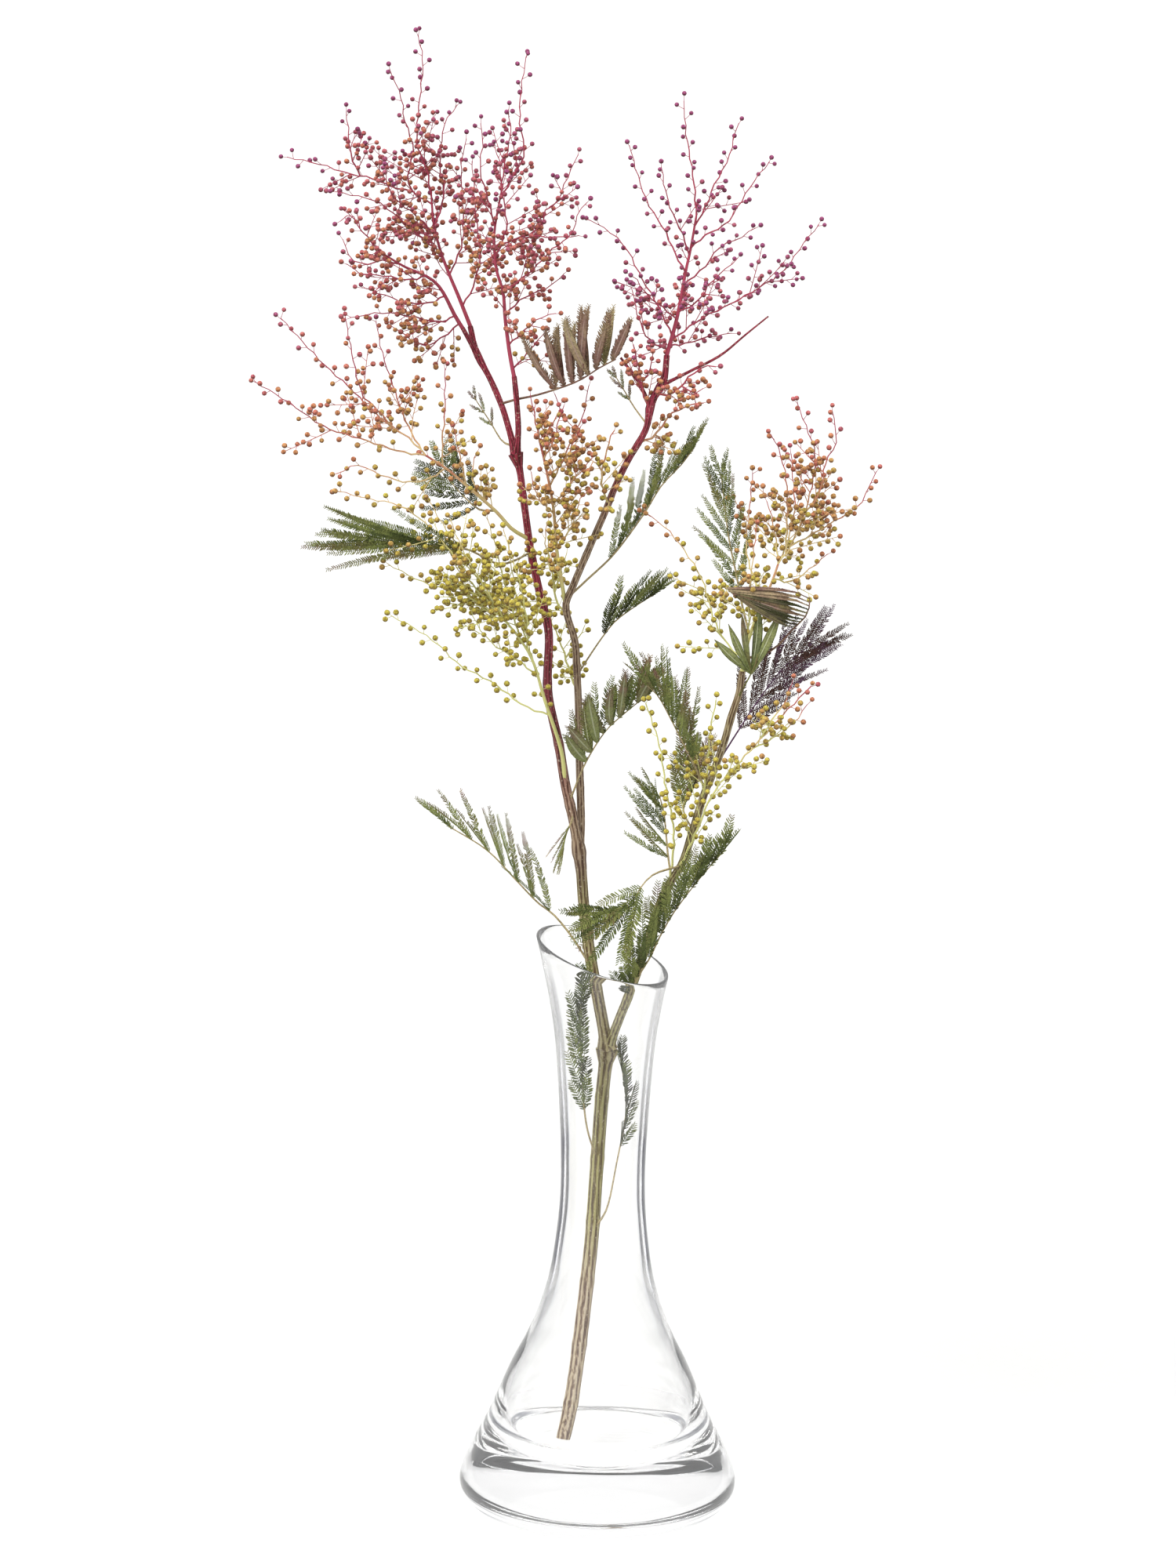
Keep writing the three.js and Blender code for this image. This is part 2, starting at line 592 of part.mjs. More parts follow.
// An axis along a route whose root is moved onto the nearest of the axes that may carry it.
function rootedAxis(route, carriers, form) {
  const points = route.map(vector);
  const nearest = new THREE.Vector3(Infinity, 0, 0);
  for (const carrier of carriers)
    for (let i = 0; i <= 100; i++) {
      const place = carrier.pointAt(i / 100);
      if (place.distanceTo(points[0]) < nearest.distanceTo(points[0])) nearest.copy(place);
    }
  if (carriers.length > 0) points[0] = nearest;
  return new Axis(points, form);
}

// The direction that leaves an axis at "turn" round it, leaning "lean" towards its tip.
function leaving(tangent, turn, lean) {
  const [across, up] = squareTo(tangent);
  return across
    .multiplyScalar(Math.cos(turn) * Math.cos(lean))
    .addScaledVector(up, Math.sin(turn) * Math.cos(lean))
    .addScaledVector(tangent, Math.sin(lean));
}

// What stands where: capsules, each with the node that it belongs to.
const standing = [];

function stand(node, from, to, radius) {
  standing.push({ node, from, to, radius });
}

function standAxis(node, axis) {
  for (let i = 0; i < axis.segments; i++)
    stand(node, axis.stations[i], axis.stations[i + 1], axis.radiusAt(i / axis.segments));
}

// The shortest distance between two straight stretches.
function distanceBetween(a, b) {
  const d1 = a.to.clone().sub(a.from);
  const d2 = b.to.clone().sub(b.from);
  const r = a.from.clone().sub(b.from);
  const aa = d1.dot(d1);
  const ee = d2.dot(d2);
  const bb = d1.dot(d2);
  const c = d1.dot(r);
  const f = d2.dot(r);
  const denominator = aa * ee - bb * bb;
  const clamp = (value) => Math.min(1, Math.max(0, value));
  let s = denominator > 1e-9 ? clamp((bb * f - c * ee) / denominator) : 0;
  let t = (bb * s + f) / ee;
  if (t < 0) {
    t = 0;
    s = clamp(-c / aa);
  } else if (t > 1) {
    t = 1;
    s = clamp((bb - c) / aa);
  }
  return r.addScaledVector(d1, s).addScaledVector(d2, -t).length();
}

// The vase's radius at a height, from its outside or inside profile.
function vaseRadius(profile, height) {
  for (let i = 1; i < profile.length; i++)
    if (height <= profile[i][1]) {
      const [r0, z0] = profile[i - 1];
      const [r1, z1] = profile[i];
      return THREE.MathUtils.mapLinear(height, z0, z1, r0, r1);
    }
  return profile.at(-1)[0];
}

const rimHeightAt = ({ x, y }) => VASE.rimHeight + VASE.rimSlopeX * x + VASE.rimSlopeY * y;

function clearOfGlass(point, radius) {
  if (point.z > rimHeightAt(point) + radius + CLEARANCE) return true;
  const out = Math.hypot(point.x, point.y);
  const inside = vaseRadius(VASE.inside, point.z) - radius - CLEARANCE;
  return out < inside || out > vaseRadius(VASE.outside, point.z) + radius + CLEARANCE;
}

// Whether a capsule clears the glass and every capsule of the other nodes.
function isClear(node, from, to, radius) {
  if (!clearOfGlass(from, radius) || !clearOfGlass(to, radius)) return false;
  const candidate = { from, to };
  return standing.every(
    (other) =>
      other.node === node || distanceBetween(candidate, other) > radius + other.radius + CLEARANCE,
  );
}

// The buds and side shoots of one raceme. Each is a bud on a stalk: a root, a centre, a size.
function growRaceme(node, axis, family, isTwig) {
  const { length } = axis;
  const stalks = [];
  const first = isTwig ? 0.5 : BUD.bare;
  const count = Math.floor((length * (1 - first)) / BUD.pitch);
  for (let k = 0; k <= count; k++) {
    const share = Math.min(1, first + (k * BUD.pitch) / length);
    const isLast = k === count;
    if (!isLast && (k + family) % BUD.stride !== 0) continue;
    const root = axis.pointAt(isLast ? 0.985 : share);
    const tangent = axis.tangentAt(isLast ? 1 : share);
    const lean = isLast ? 80 * DEGREE : (25 + 25 * chance(family, k)) * DEGREE;
    const reach = BUD.reach * (0.85 + 0.35 * chance(family, k + 100));
    const outward = leaving(tangent, k * GOLDEN_ANGLE + family, lean);
    stalks.push({ root, centre: root.clone().addScaledVector(outward, reach) });
  }
  const shoots = Math.floor((length * 0.7) / SHOOT.pitch);
  for (let k = 0; k < shoots; k++) {
    if ((k + family) % SHOOT.stride !== 0) continue;
    const share = 0.15 + (k * SHOOT.pitch) / length;
    const root = axis.pointAt(share);
    const tangent = axis.tangentAt(share);
    const reach = THREE.MathUtils.clamp(
      SHOOT.share * (1 - share) * length + 6 * chance(family, k + 200),
      SHOOT.shortest,
      SHOOT.longest,
    );
    const lean = (35 + 15 * chance(family, k + 300)) * DEGREE;
    const outward = leaving(tangent, k * GOLDEN_ANGLE + 2.2 + family, lean);
    stalks.push({ root, centre: root.clone().addScaledVector(outward, reach) });
  }
  const grown = [];
  for (const { root, centre } of stalks) {
    const along = centre.clone().sub(root).normalize();
    const stalkStart = root.clone().addScaledVector(along, 1.2);
    if (!isClear(node, stalkStart, centre, BUD.stalk)) continue;
    if (!isClear(node, centre, centre.clone().addScaledVector(along, 0.1), BUD.radius)) continue;
    stand(node, root, centre, BUD.stalk);
    stand(node, centre, centre.clone().addScaledVector(along, 0.1), BUD.radius);
    grown.push(budOnStalk(root, centre));
  }
  return grown;
}

// A bud is an octahedron whose near face opens into the stalk.
function budOnStalk(root, centre) {
  const axis = centre.clone().sub(root).normalize();
  const faceDistance = BUD.radius / Math.sqrt(3);
  const faceRadius = BUD.radius * Math.sqrt(2 / 3);
  const near = centre.clone().addScaledVector(axis, -faceDistance);
  const far = centre.clone().addScaledVector(axis, faceDistance);
  return loft([
    ringAround(root, axis, BUD.stalk, 3),
    ringAround(near, axis, BUD.stalk, 3),
    ringAround(near, axis, faceRadius, 3),
    ringAround(far, axis, faceRadius, 3, Math.PI / 3),
  ]);
}

// The axis of one pinna, from its place on the rachis, and where its upper side looks.
function pinnaAxis(frond, at, rise, side, twist, shorten, family) {
  const tangent = frond.rachis.tangentAt(at);
  const root = frond.rachis.pointAt(at);
  const face = vector(frond.face);
  face.addScaledVector(tangent, -face.dot(tangent)).normalize();
  const across = face.clone().cross(tangent);
  const fold = (frond.fold + twist) * DEGREE;
  const outward = across
    .clone()
    .multiplyScalar(side * Math.cos(fold))
    .addScaledVector(face, Math.sin(fold));
  const spread = frond.spread * (1.1 - 0.5 * rise) * (0.85 + 0.3 * chance(family, 5)) * DEGREE;
  const direction = outward
    .clone()
    .multiplyScalar(Math.sin(spread))
    .addScaledVector(tangent, Math.cos(spread));
  const fullness = 0.62 + 0.38 * Math.sin(Math.PI * Math.min(1, 0.25 + 0.75 * rise));
  const length = frond.length * fullness * shorten * (0.88 + 0.24 * chance(family, 6));
  const bend = tangent.clone().multiplyScalar(0.12 * length).addScaledVector(direction, -0.04 * length);
  const upper = face
    .clone()
    .multiplyScalar(Math.cos(fold))
    .addScaledVector(across, -side * Math.sin(fold));
  return {
    upper,
    length,
    direction,
    pointAt: (share) =>
      root
        .clone()
        .addScaledVector(direction, length * share)
        .addScaledVector(bend, share * share),
    acrossAt: (share) =>
      upper
        .clone()
        .cross(direction.clone().multiplyScalar(length).addScaledVector(bend, 2 * share))
        .normalize(),
  };
}

// A pinna is a three-sided rib. Each leaflet is a spike drawn out from one of its two upper
// sides and swept forward.
function pinnaGeometry(axis) {
  const count = Math.max(2, Math.round(axis.length / LEAF.leafletPitch));
  const points = [];
  const faces = [];
  for (let i = 0; i <= count; i++) {
    const half = LEAF.halfThickness * (i === 0 ? 0.6 : 1 - (0.3 * i) / count);
    const centre = axis.pointAt(i / count);
    const across = axis.acrossAt(i / count);
    points.push(centre.clone().addScaledVector(axis.upper, half));
    points.push(centre.clone().addScaledVector(axis.upper, -half).addScaledVector(across, -half));
    points.push(centre.clone().addScaledVector(axis.upper, -half).addScaledVector(across, half));
  }
  for (let i = 0; i < count; i++) {
    const [ridge, left, right] = [3 * i, 3 * i + 1, 3 * i + 2];
    const fullness = i === 0 ? 0.75 : 1 - 0.4 * (i / (count - 1)) ** 2;
    for (const side of [1, -1]) {
      const tip = points.length;
      points.push(
        axis
          .pointAt((i + 0.6) / count)
          .addScaledVector(axis.acrossAt(i / count), side * LEAF.leafletReach * fullness)
          .addScaledVector(axis.direction, LEAF.leafletSweep * fullness),
      );
      const edge = side > 0 ? right : left;
      const corners = [ridge, ridge + 3, edge + 3, edge];
      if (side < 0) corners.reverse();
      for (let k = 0; k < 4; k++) faces.push(corners[k], corners[(k + 1) % 4], tip);
    }
    faces.push(left, right, right + 3, left, right + 3, left + 3);
  }
  faces.push(0, 2, 1, 3 * count, 3 * count + 1, 3 * count + 2);
  return closedGeometry(points, faces);
}

// Each pinna is turned, and then shortened, until it is clear of its neighbours.
function growPinna(node, frond, at, rise, side, family) {
  for (const shorten of [1, 0.75, 0.5])
    for (const twist of [0, 14, -14, 28, -28, 45, -45]) {
      const axis = pinnaAxis(frond, at, rise, side, twist, shorten, family);
      const stations = [0.12, 0.4, 0.7, 1].map((share) => axis.pointAt(share));
      const width = 0.75 * LEAF.leafletReach;
      const clear = stations
        .slice(1)
        .every((station, i) => isClear(node, stations[i], station, width));
      if (!clear) continue;
      stations.slice(1).forEach((station, i) => stand(node, stations[i], station, width));
      return pinnaGeometry(axis);
    }
  return null;
}

function growFrond(node, frond, family) {
  const pinnae = [];
  for (let pair = 0; pair < frond.pairs; pair++)
    for (const side of [1, -1]) {
      const rise = frond.pairs === 1 ? 1 : pair / (frond.pairs - 1);
      const at = THREE.MathUtils.lerp(frond.from, 0.97, rise);
      const own = family * 40 + pair * 2 + (side > 0 ? 1 : 0);
      const pinna = growPinna(node, frond, at, rise, side, own);
      if (pinna) pinnae.push(pinna);
    }
  return pinnae;
}

// ---- Sub-parts ----

function vaseSolid() {
  const profile = [[0, 0], ...VASE.outside, ...VASE.inside.toReversed(), [0, VASE.floor]];
  const points = profile.map(([r, z]) => new THREE.Vector2(r, z));
  const lathe = new THREE.LatheGeometry(points, VASE.sides).rotateX(Math.PI / 2);
  lathe.deleteAttribute("normal");
  lathe.deleteAttribute("uv");
  return toSolid(mergeVertices(lathe)).subtract(block(rimHeightAt, () => 400));
}

// A wide block between two surfaces, each given by its height over a point.
function block(bottom, top) {
  const ring = (height) =>
    [[1, -1], [1, 1], [-1, 1], [-1, -1]].map(([x, y]) => {
      const corner = new THREE.Vector3(100 * x, 100 * y, 0);
      return corner.setZ(height(corner));
    });
  return toSolid(loft([ring(bottom), ring(top)]));
}

function woodyStemSolid() {
  const tubes = join(limbs.map((limb) => limb.tube()));
  const foot = VASE.floor + SEAT_GAP;
  return tubes.subtract(block(() => 0, () => foot));
}

function frondSolid(frond, family) {
  const pieces = [frond.rachis.tube(), ...growFrond(frond.name, frond, family)];
  return join(pieces).subtract(stemRoom).subtract(twigRoom);
}

function spraySolid({ name, axes }, family) {
  const pieces = axes.flatMap((axis, i) => [
    axis.tube(),
    ...growRaceme(name, axis, family + i, i === 0),
  ]);
  return join(pieces).subtract(stemRoom);
}

// ---- Assembly ----

const root = new THREE.Group();
root.name = "mimosa_sprig_in_vase";

function place(name, solid, finish) {
  const material = new THREE.MeshStandardMaterial({ ...finish, metalness: 0, flatShading: true });
  const mesh = new THREE.Mesh(toGeometry(tidied(solid)), material);
  mesh.name = name;
  root.add(mesh);
}

const limbs = [];
for (const { radii, route } of LIMBS) {
  const [base, tip] = radii;
  limbs.push(rootedAxis(route, limbs, { ...STEM, base, tip }));
}
limbs.forEach((limb) => standAxis("woody_stem", limb));

// Every twig and rachis takes its place before the buds and pinnae grow round them.
const sprays = Object.entries(SPRAYS).map(([name, { colour, routes }]) => {
  const axes = [rootedAxis(routes[0], limbs, TWIG)];
  for (const route of routes.slice(1)) axes.push(rootedAxis(route, axes, RACEME));
  axes.forEach((axis) => standAxis(name, axis));
  return { name, colour, axes };
});
const twigs = sprays.map(({ axes }) => axes[0]);
const fronds = Object.entries(FRONDS).map(([name, frond]) => {
  const rachis = rootedAxis(frond.route, [...limbs, ...twigs], RACHIS);
  standAxis(name, rachis);
  return { name, ...frond, rachis };
});

const stemRoom = join(limbs.map((limb) => limb.tube(SEAT_GAP)));
const twigRoom = join(twigs.map((twig) => twig.tube(SEAT_GAP)));

place("glass_vase", vaseSolid(), GLASS);
place("woody_stem", woodyStemSolid(), BARK);
fronds.forEach((frond, index) => place(frond.name, frondSolid(frond, index + 1), LEAF_GREEN));
sprays.forEach((spray, index) => {
  place(spray.name, spraySolid(spray, (index + 1) * 20), { ...BUDS, color: spray.colour });
});

export default root;
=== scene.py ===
"""A sprig of mimosa (silver wattle) in bud, standing in a clear glass bud vase.

Blender metres, +Z up, the front faces -Y. Routes and growth rules are in millimetres, as in the
part's source, and a mesh is turned to metres when it is made.
"""

import math

import bmesh
import bpy
import numpy as np
from bpy.props import FloatProperty, FloatVectorProperty, IntProperty, PointerProperty
from mathutils import Matrix, Vector


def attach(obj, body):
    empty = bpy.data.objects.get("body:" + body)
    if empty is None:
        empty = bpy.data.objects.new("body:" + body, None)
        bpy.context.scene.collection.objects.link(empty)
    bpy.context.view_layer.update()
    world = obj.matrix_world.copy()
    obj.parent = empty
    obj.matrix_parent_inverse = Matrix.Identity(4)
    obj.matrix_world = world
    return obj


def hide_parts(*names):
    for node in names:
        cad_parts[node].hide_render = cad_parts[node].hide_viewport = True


bl_info = {
    "name": "Mimosa sprig in a vase",
    "version": (1, 0, 0),
    "blender": (4, 5, 0),
    "location": "View3D > Sidebar > Mimosa",
    "description": "Grows a budding mimosa sprig in a clear glass bud vase",
    "category": "Add Mesh",
}

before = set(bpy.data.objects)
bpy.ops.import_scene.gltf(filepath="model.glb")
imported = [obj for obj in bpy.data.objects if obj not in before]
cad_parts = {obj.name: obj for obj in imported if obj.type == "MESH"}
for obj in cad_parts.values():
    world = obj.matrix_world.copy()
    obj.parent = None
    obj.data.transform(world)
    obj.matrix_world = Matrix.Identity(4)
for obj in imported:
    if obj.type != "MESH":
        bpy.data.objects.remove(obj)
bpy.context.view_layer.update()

MM = 0.001
DEGREE = math.pi / 180
GOLDEN_ANGLE = math.radians(137.508)
UP = np.array((0.0, 0.0, 1.0))

# ---- Routes, in millimetres, root first ----

# The woody stem's limbs: radius at the root and at the end, then the route.
LIMBS = [
    ((3.1, 2.9), [
        (-17, -9, 20), (-11, 0, 53), (-5, 9, 110), (-3, 12, 144), (-1, 13, 179), (1, 13, 200),
    ]),
    ((2.6, 1.3), [
        (1, 13, 200), (-3, 13, 220), (-7, 14, 240), (-10, 12, 261), (-12, 11, 282), (-15, 10, 299),
        (-19, 9, 316), (-22, 8, 333), (-27, 6, 356), (-27, 4, 381), (-31, 2, 398), (-35, 1, 416),
        (-38, 1, 435), (-40, 1, 449), (-42, 1, 457),
    ]),
    ((1.3, 1.1), [
        (-42, 1, 457), (-45, 3, 467), (-48, 5, 476), (-53, 7, 487), (-59, 9, 498), (-62, 11, 509),
    ]),
    ((1.1, 0.9), [(-58, 9, 496), (-65, 3, 509)]),
    ((1.3, 1.1), [(-42, 1, 457), (-41, -2, 467), (-42, -5, 481), (-43, -7, 490)]),
    ((1.7, 1.2), [
        (-13, 10, 287), (-12, 14, 298), (-13, 18, 321), (-14, 18, 348), (-15, 16, 365),
        (-16, 12, 377), (-20, 4, 392), (-17, 0, 402), (-10, -5, 420), (-4, -9, 435), (0, -12, 446),
        (5, -14, 457), (12, -16, 470), (14, -17, 481), (19, -18, 491), (20, -18, 501),
    ]),
    ((0.7, 0.3), [(18, -18, 488), (30, -21, 495), (42, -25, 502), (52, -29, 511), (61, -33, 519)]),
    ((0.8, 0.5), [(13, -17, 479), (10, -14, 487), (5, -12, 494), (1, -11, 499)]),
    ((2, 1.4), [
        (1, 13, 200), (7, 7, 218), (9, 4, 224), (15, -3, 244), (21, -9, 266), (27, -12, 280),
        (31, -13, 287), (35, -15, 301), (39, -17, 316), (43, -18, 327), (47, -19, 339),
        (50, -20, 351), (53, -20, 361), (54, -20, 370),
    ]),
]
BACK_STEM, RIGHT_LIMB = 5, 8

# From one node of the stem to the next.
NODE_GAP = 27

# The sprays. The first route of each is its twig, and the others are racemes that branch
# from it or from each other.
SPRAYS = {
    "spray_left_crown": [
        [
            (-62, 11, 509), (-67, 12, 521), (-71, 13, 530), (-75, 15, 540), (-78, 17, 551),
            (-79, 18, 561),
        ],
        [
            (-79, 18, 561), (-81, 16, 573), (-85, 14, 583), (-85, 12, 594), (-84, 11, 605),
            (-83, 9, 618), (-85, 8, 629),
        ],
        [
            (-79, 18, 559), (-87, 19, 564), (-89, 20, 571), (-87, 20, 582), (-91, 18, 595),
            (-92, 16, 603), (-97, 13, 615),
        ],
        [
            (-87, 19, 564), (-96, 20, 566), (-104, 22, 569), (-115, 24, 571), (-125, 26, 574),
            (-140, 28, 577),
        ],
        [(-77, 17, 550), (-74, 22, 562), (-76, 25, 577), (-74, 27, 592), (-69, 28, 600)],
        [
            (-75, 15, 539), (-84, 8, 547), (-93, 2, 555), (-101, -2, 561), (-108, -4, 563),
            (-118, -6, 565),
        ],
        [(-77, 16, 546), (-85, 6, 555), (-92, -2, 561), (-96, -8, 567), (-97, -12, 575)],
        [(-71, 13, 530), (-66, 20, 543), (-66, 24, 558), (-67, 26, 575), (-65, 27, 586)],
        [
            (-65, 12, 517), (-61, 9, 526), (-58, 7, 539), (-60, 6, 554), (-61, 5, 567),
            (-62, 5, 578),
        ],
        [(-73, 14, 535), (-81, 30, 545), (-90, 38, 548), (-95, 42, 556)],
        [(-109, 23, 570), (-113, 21, 579), (-114, 20, 588), (-115, 20, 597)],
    ],
    "spray_low_left_crown": [
        [(-65, 3, 509), (-68, 1, 514), (-76, -4, 528), (-89, -10, 535), (-97, -14, 540)],
        [(-97, -14, 540), (-101, -17, 544), (-107, -20, 551), (-111, -22, 557), (-115, -23, 554)],
        [(-89, -10, 535), (-98, -6, 537), (-106, -3, 535), (-112, -1, 538), (-115, 0, 545)],
        [(-80, -6, 531), (-87, -16, 530), (-97, -22, 532), (-106, -26, 533), (-112, -28, 537)],
        [(-73, -2, 522), (-79, -10, 520), (-89, -16, 521), (-97, -20, 524), (-106, -22, 527)],
        [(-68, 1, 514), (-74, -6, 512), (-84, -10, 514), (-97, -13, 516), (-111, -16, 514)],
        [(-66, 2, 511), (-73, 4, 505), (-81, 5, 501), (-90, 6, 506), (-95, 6, 509)],
    ],
    "spray_middle_crown": [
        [
            (-43, -7, 490), (-45, -8, 500), (-47, -9, 514), (-48, -10, 525), (-51, -10, 535),
            (-52, -11, 549), (-50, -12, 563),
        ],
        [
            (-50, -12, 563), (-43, -14, 576), (-40, -15, 584), (-42, -15, 594), (-42, -14, 606),
            (-40, -12, 622),
        ],
        [(-50, -12, 563), (-48, -8, 579), (-46, -5, 590), (-47, -4, 600)],
        [(-52, -11, 552), (-55, -18, 565), (-58, -22, 576), (-57, -24, 588), (-58, -25, 595)],
        [(-51, -10, 539), (-47, -20, 553), (-49, -26, 569), (-50, -29, 580), (-52, -30, 586)],
        [(-51, -11, 544), (-44, -15, 547), (-35, -19, 549), (-26, -22, 549), (-17, -24, 550)],
        [
            (-44, -15, 547), (-33, -11, 552), (-31, -9, 559), (-26, -8, 563), (-23, -7, 571),
            (-18, -6, 582),
        ],
        [
            (-48, -10, 525), (-36, -17, 535), (-28, -22, 544), (-21, -29, 550), (-17, -31, 560),
            (-14, -32, 564),
        ],
        [(-47, -9, 516), (-40, -2, 522), (-33, 3, 525), (-27, 6, 528), (-23, 8, 532)],
        [(-45, -8, 503), (-39, -16, 510), (-32, -22, 516), (-26, -25, 518)],
        [(-44, -7, 493), (-38, -2, 499), (-34, 2, 504), (-31, 4, 507)],
    ],
    "spray_right_crown": [
        [(20, -18, 501), (24, -18, 517), (27, -17, 535), (29, -16, 545), (31, -15, 558)],
        [(31, -15, 558), (30, -14, 570), (28, -13, 582), (26, -12, 593), (25, -12, 605)],
        [
            (30, -15, 554), (35, -10, 562), (39, -7, 572), (44, -5, 581), (46, -4, 590),
            (48, -4, 596),
        ],
        [
            (29, -16, 545), (35, -22, 551), (43, -27, 556), (48, -30, 564), (54, -32, 574),
            (60, -33, 582),
        ],
        [(27, -17, 535), (23, -12, 542), (18, -8, 552), (12, -5, 561), (8, -3, 570), (3, -2, 586)],
        [(29, -16, 542), (25, -22, 552), (21, -26, 560), (18, -29, 569), (16, -31, 579)],
        [(26, -17, 530), (35, -10, 537), (41, -6, 545), (48, -4, 548), (56, -3, 553)],
        [
            (22, -18, 507), (34, -14, 516), (46, -11, 522), (58, -9, 529), (68, -7, 536),
            (75, -5, 546), (82, -4, 555),
        ],
        [(24, -18, 519), (32, -26, 524), (37, -31, 532), (43, -34, 538), (48, -36, 543)],
        [
            (22, -18, 509), (16, -12, 521), (9, -8, 532), (3, -5, 543), (-4, -3, 550),
            (-13, -2, 555),
        ],
        [(23, -18, 516), (17, -26, 522), (11, -30, 527), (7, -33, 533), (4, -34, 535)],
        [(21, -18, 503), (15, -22, 506), (11, -27, 510), (8, -30, 517), (5, -32, 529)],
        [(21, -18, 505), (27, -10, 505), (35, -5, 507), (41, -2, 508), (47, 0, 509)],
    ],
    "spray_fork_left": [
        [(14, -17, 478), (10, -21, 487), (8, -25, 498), (6, -27, 506)],
        [(10, -22, 489), (13, -28, 496), (14, -31, 502)],
    ],
    "spray_fork_right": [
        [(16, -17, 484), (23, -24, 486), (30, -29, 494), (36, -32, 498), (40, -33, 498)],
        [(26, -27, 489), (31, -31, 487), (35, -33, 489)],
    ],
    "spray_fork_low": [
        [(9, -15, 464), (16, -10, 467), (22, -6, 475), (30, -4, 479), (36, -3, 480)],
        [(16, -10, 467), (19, -4, 464), (21, -1, 465)],
    ],
    "spray_fork_front": [
        [(-3, -10, 438), (-6, -20, 448), (-5, -26, 458), (-3, -30, 467), (-1, -32, 471)],
        [(-6, -23, 453), (-9, -29, 458), (-11, -32, 455)],
    ],
    "spray_centre": [
        [(-20, 4, 392), (-24, -4, 416), (-26, -11, 437), (-30, -18, 457), (-32, -21, 465)],
        [(-32, -21, 465), (-34, -22, 475), (-36, -23, 484)],
        [(-30, -18, 457), (-26, -26, 466), (-24, -31, 475), (-22, -34, 481)],
        [(-28, -15, 449), (-21, -22, 458), (-17, -26, 467), (-15, -28, 472)],
        [(-31, -19, 461), (-28, -13, 469), (-24, -9, 477), (-26, -7, 483)],
        [(-26, -11, 437), (-20, -20, 446), (-13, -27, 455), (-10, -30, 459)],
        [(-24, -4, 418), (-18, -14, 429), (-15, -20, 440), (-11, -24, 446)],
        [(-26, -10, 433), (-31, -22, 440), (-34, -28, 447), (-35, -31, 453)],
        [(-27, -14, 445), (-19, -7, 463), (-14, -2, 475), (-12, 1, 486)],
        [(-22, 0, 406), (-27, -12, 415), (-29, -18, 423), (-28, -22, 431)],
    ],
    "spray_left": [
        [
            (-36, 1, 421), (-43, -4, 426), (-50, -8, 434), (-62, -14, 445), (-70, -17, 452),
            (-79, -20, 458),
        ],
        [
            (-79, -20, 458), (-86, -20, 465), (-94, -20, 470), (-103, -21, 478), (-112, -22, 487),
            (-121, -23, 495), (-139, -25, 514),
        ],
        [
            (-79, -20, 458), (-89, -26, 460), (-106, -33, 466), (-118, -37, 470), (-126, -40, 475),
            (-134, -43, 481), (-148, -47, 490),
        ],
        [
            (-71, -17, 452), (-78, -10, 447), (-88, -5, 445), (-100, -1, 448), (-108, 1, 451),
            (-117, 2, 447),
        ],
        [
            (-81, -20, 459), (-87, -12, 470), (-91, -7, 479), (-94, -4, 487), (-98, -1, 498),
            (-101, 2, 511),
        ],
        [(-72, -17, 453), (-72, -24, 465), (-71, -28, 475), (-71, -30, 485), (-71, -31, 495)],
        [(-93, -20, 469), (-99, -30, 478), (-105, -36, 485), (-109, -40, 502), (-112, -42, 518)],
        [(-62, -14, 445), (-64, -22, 455), (-66, -27, 465), (-67, -29, 470)],
        [(-54, -9, 437), (-59, 0, 443), (-60, 6, 451), (-58, 9, 457)],
    ],
    "spray_low_left": [
        [
            (-19, 9, 316), (-21, 1, 332), (-28, -8, 354), (-33, -14, 371), (-39, -19, 382),
            (-46, -23, 391),
        ],
        [
            (-46, -23, 391), (-60, -27, 407), (-69, -31, 421), (-79, -34, 432), (-89, -37, 439),
            (-102, -40, 442), (-114, -42, 445),
        ],
        [(-44, -21, 388), (-51, -31, 401), (-59, -38, 415), (-64, -42, 425), (-68, -44, 435)],
        [(-39, -19, 382), (-43, -13, 396), (-47, -9, 408), (-50, -17, 422), (-53, -20, 432)],
        [(-33, -14, 371), (-38, -12, 386), (-41, -11, 400), (-43, -12, 412), (-44, -14, 419)],
        [(-36, -16, 376), (-36, -26, 391), (-39, -33, 407), (-43, -37, 420), (-46, -39, 430)],
        [(-45, -22, 389), (-52, -15, 392), (-60, -10, 398), (-64, -7, 406), (-67, -5, 413)],
        [
            (-46, -23, 391), (-55, -26, 397), (-64, -27, 402), (-76, -28, 405), (-85, -29, 409),
            (-94, -30, 414),
        ],
        [(-31, -12, 365), (-40, -18, 373), (-50, -22, 380), (-57, -25, 389), (-59, -27, 395)],
        [
            (-26, -5, 348), (-37, -8, 352), (-50, -12, 362), (-64, -16, 370), (-72, -18, 378),
            (-83, -21, 386), (-92, -23, 391),
        ],
        [(-46, -23, 391), (-56, -20, 405), (-63, -18, 417), (-71, -17, 428), (-77, -16, 438)],
    ],
    "spray_back_stem": [
        [(-14, 18, 352), (-18, 25, 362), (-22, 29, 373), (-26, 31, 382), (-29, 32, 391)],
        [(-20, 27, 367), (-15, 32, 374), (-12, 35, 380)],
    ],
    "spray_above_fork": [
        [(-19, 6, 387), (-24, 12, 394), (-26, 15, 404), (-28, 17, 413), (-27, 18, 422)],
        [(-25, 13, 398), (-22, 19, 406), (-20, 22, 413)],
    ],
    "spray_right_low": [
        [(25, -11, 277), (27, -20, 300), (23, -27, 322), (20, -31, 340), (14, -35, 358)],
    ],
    "spray_right_long": [
        [
            (29, -13, 284), (35, -22, 299), (43, -29, 320), (51, -33, 331), (60, -36, 342),
            (70, -38, 354), (82, -39, 367),
        ],
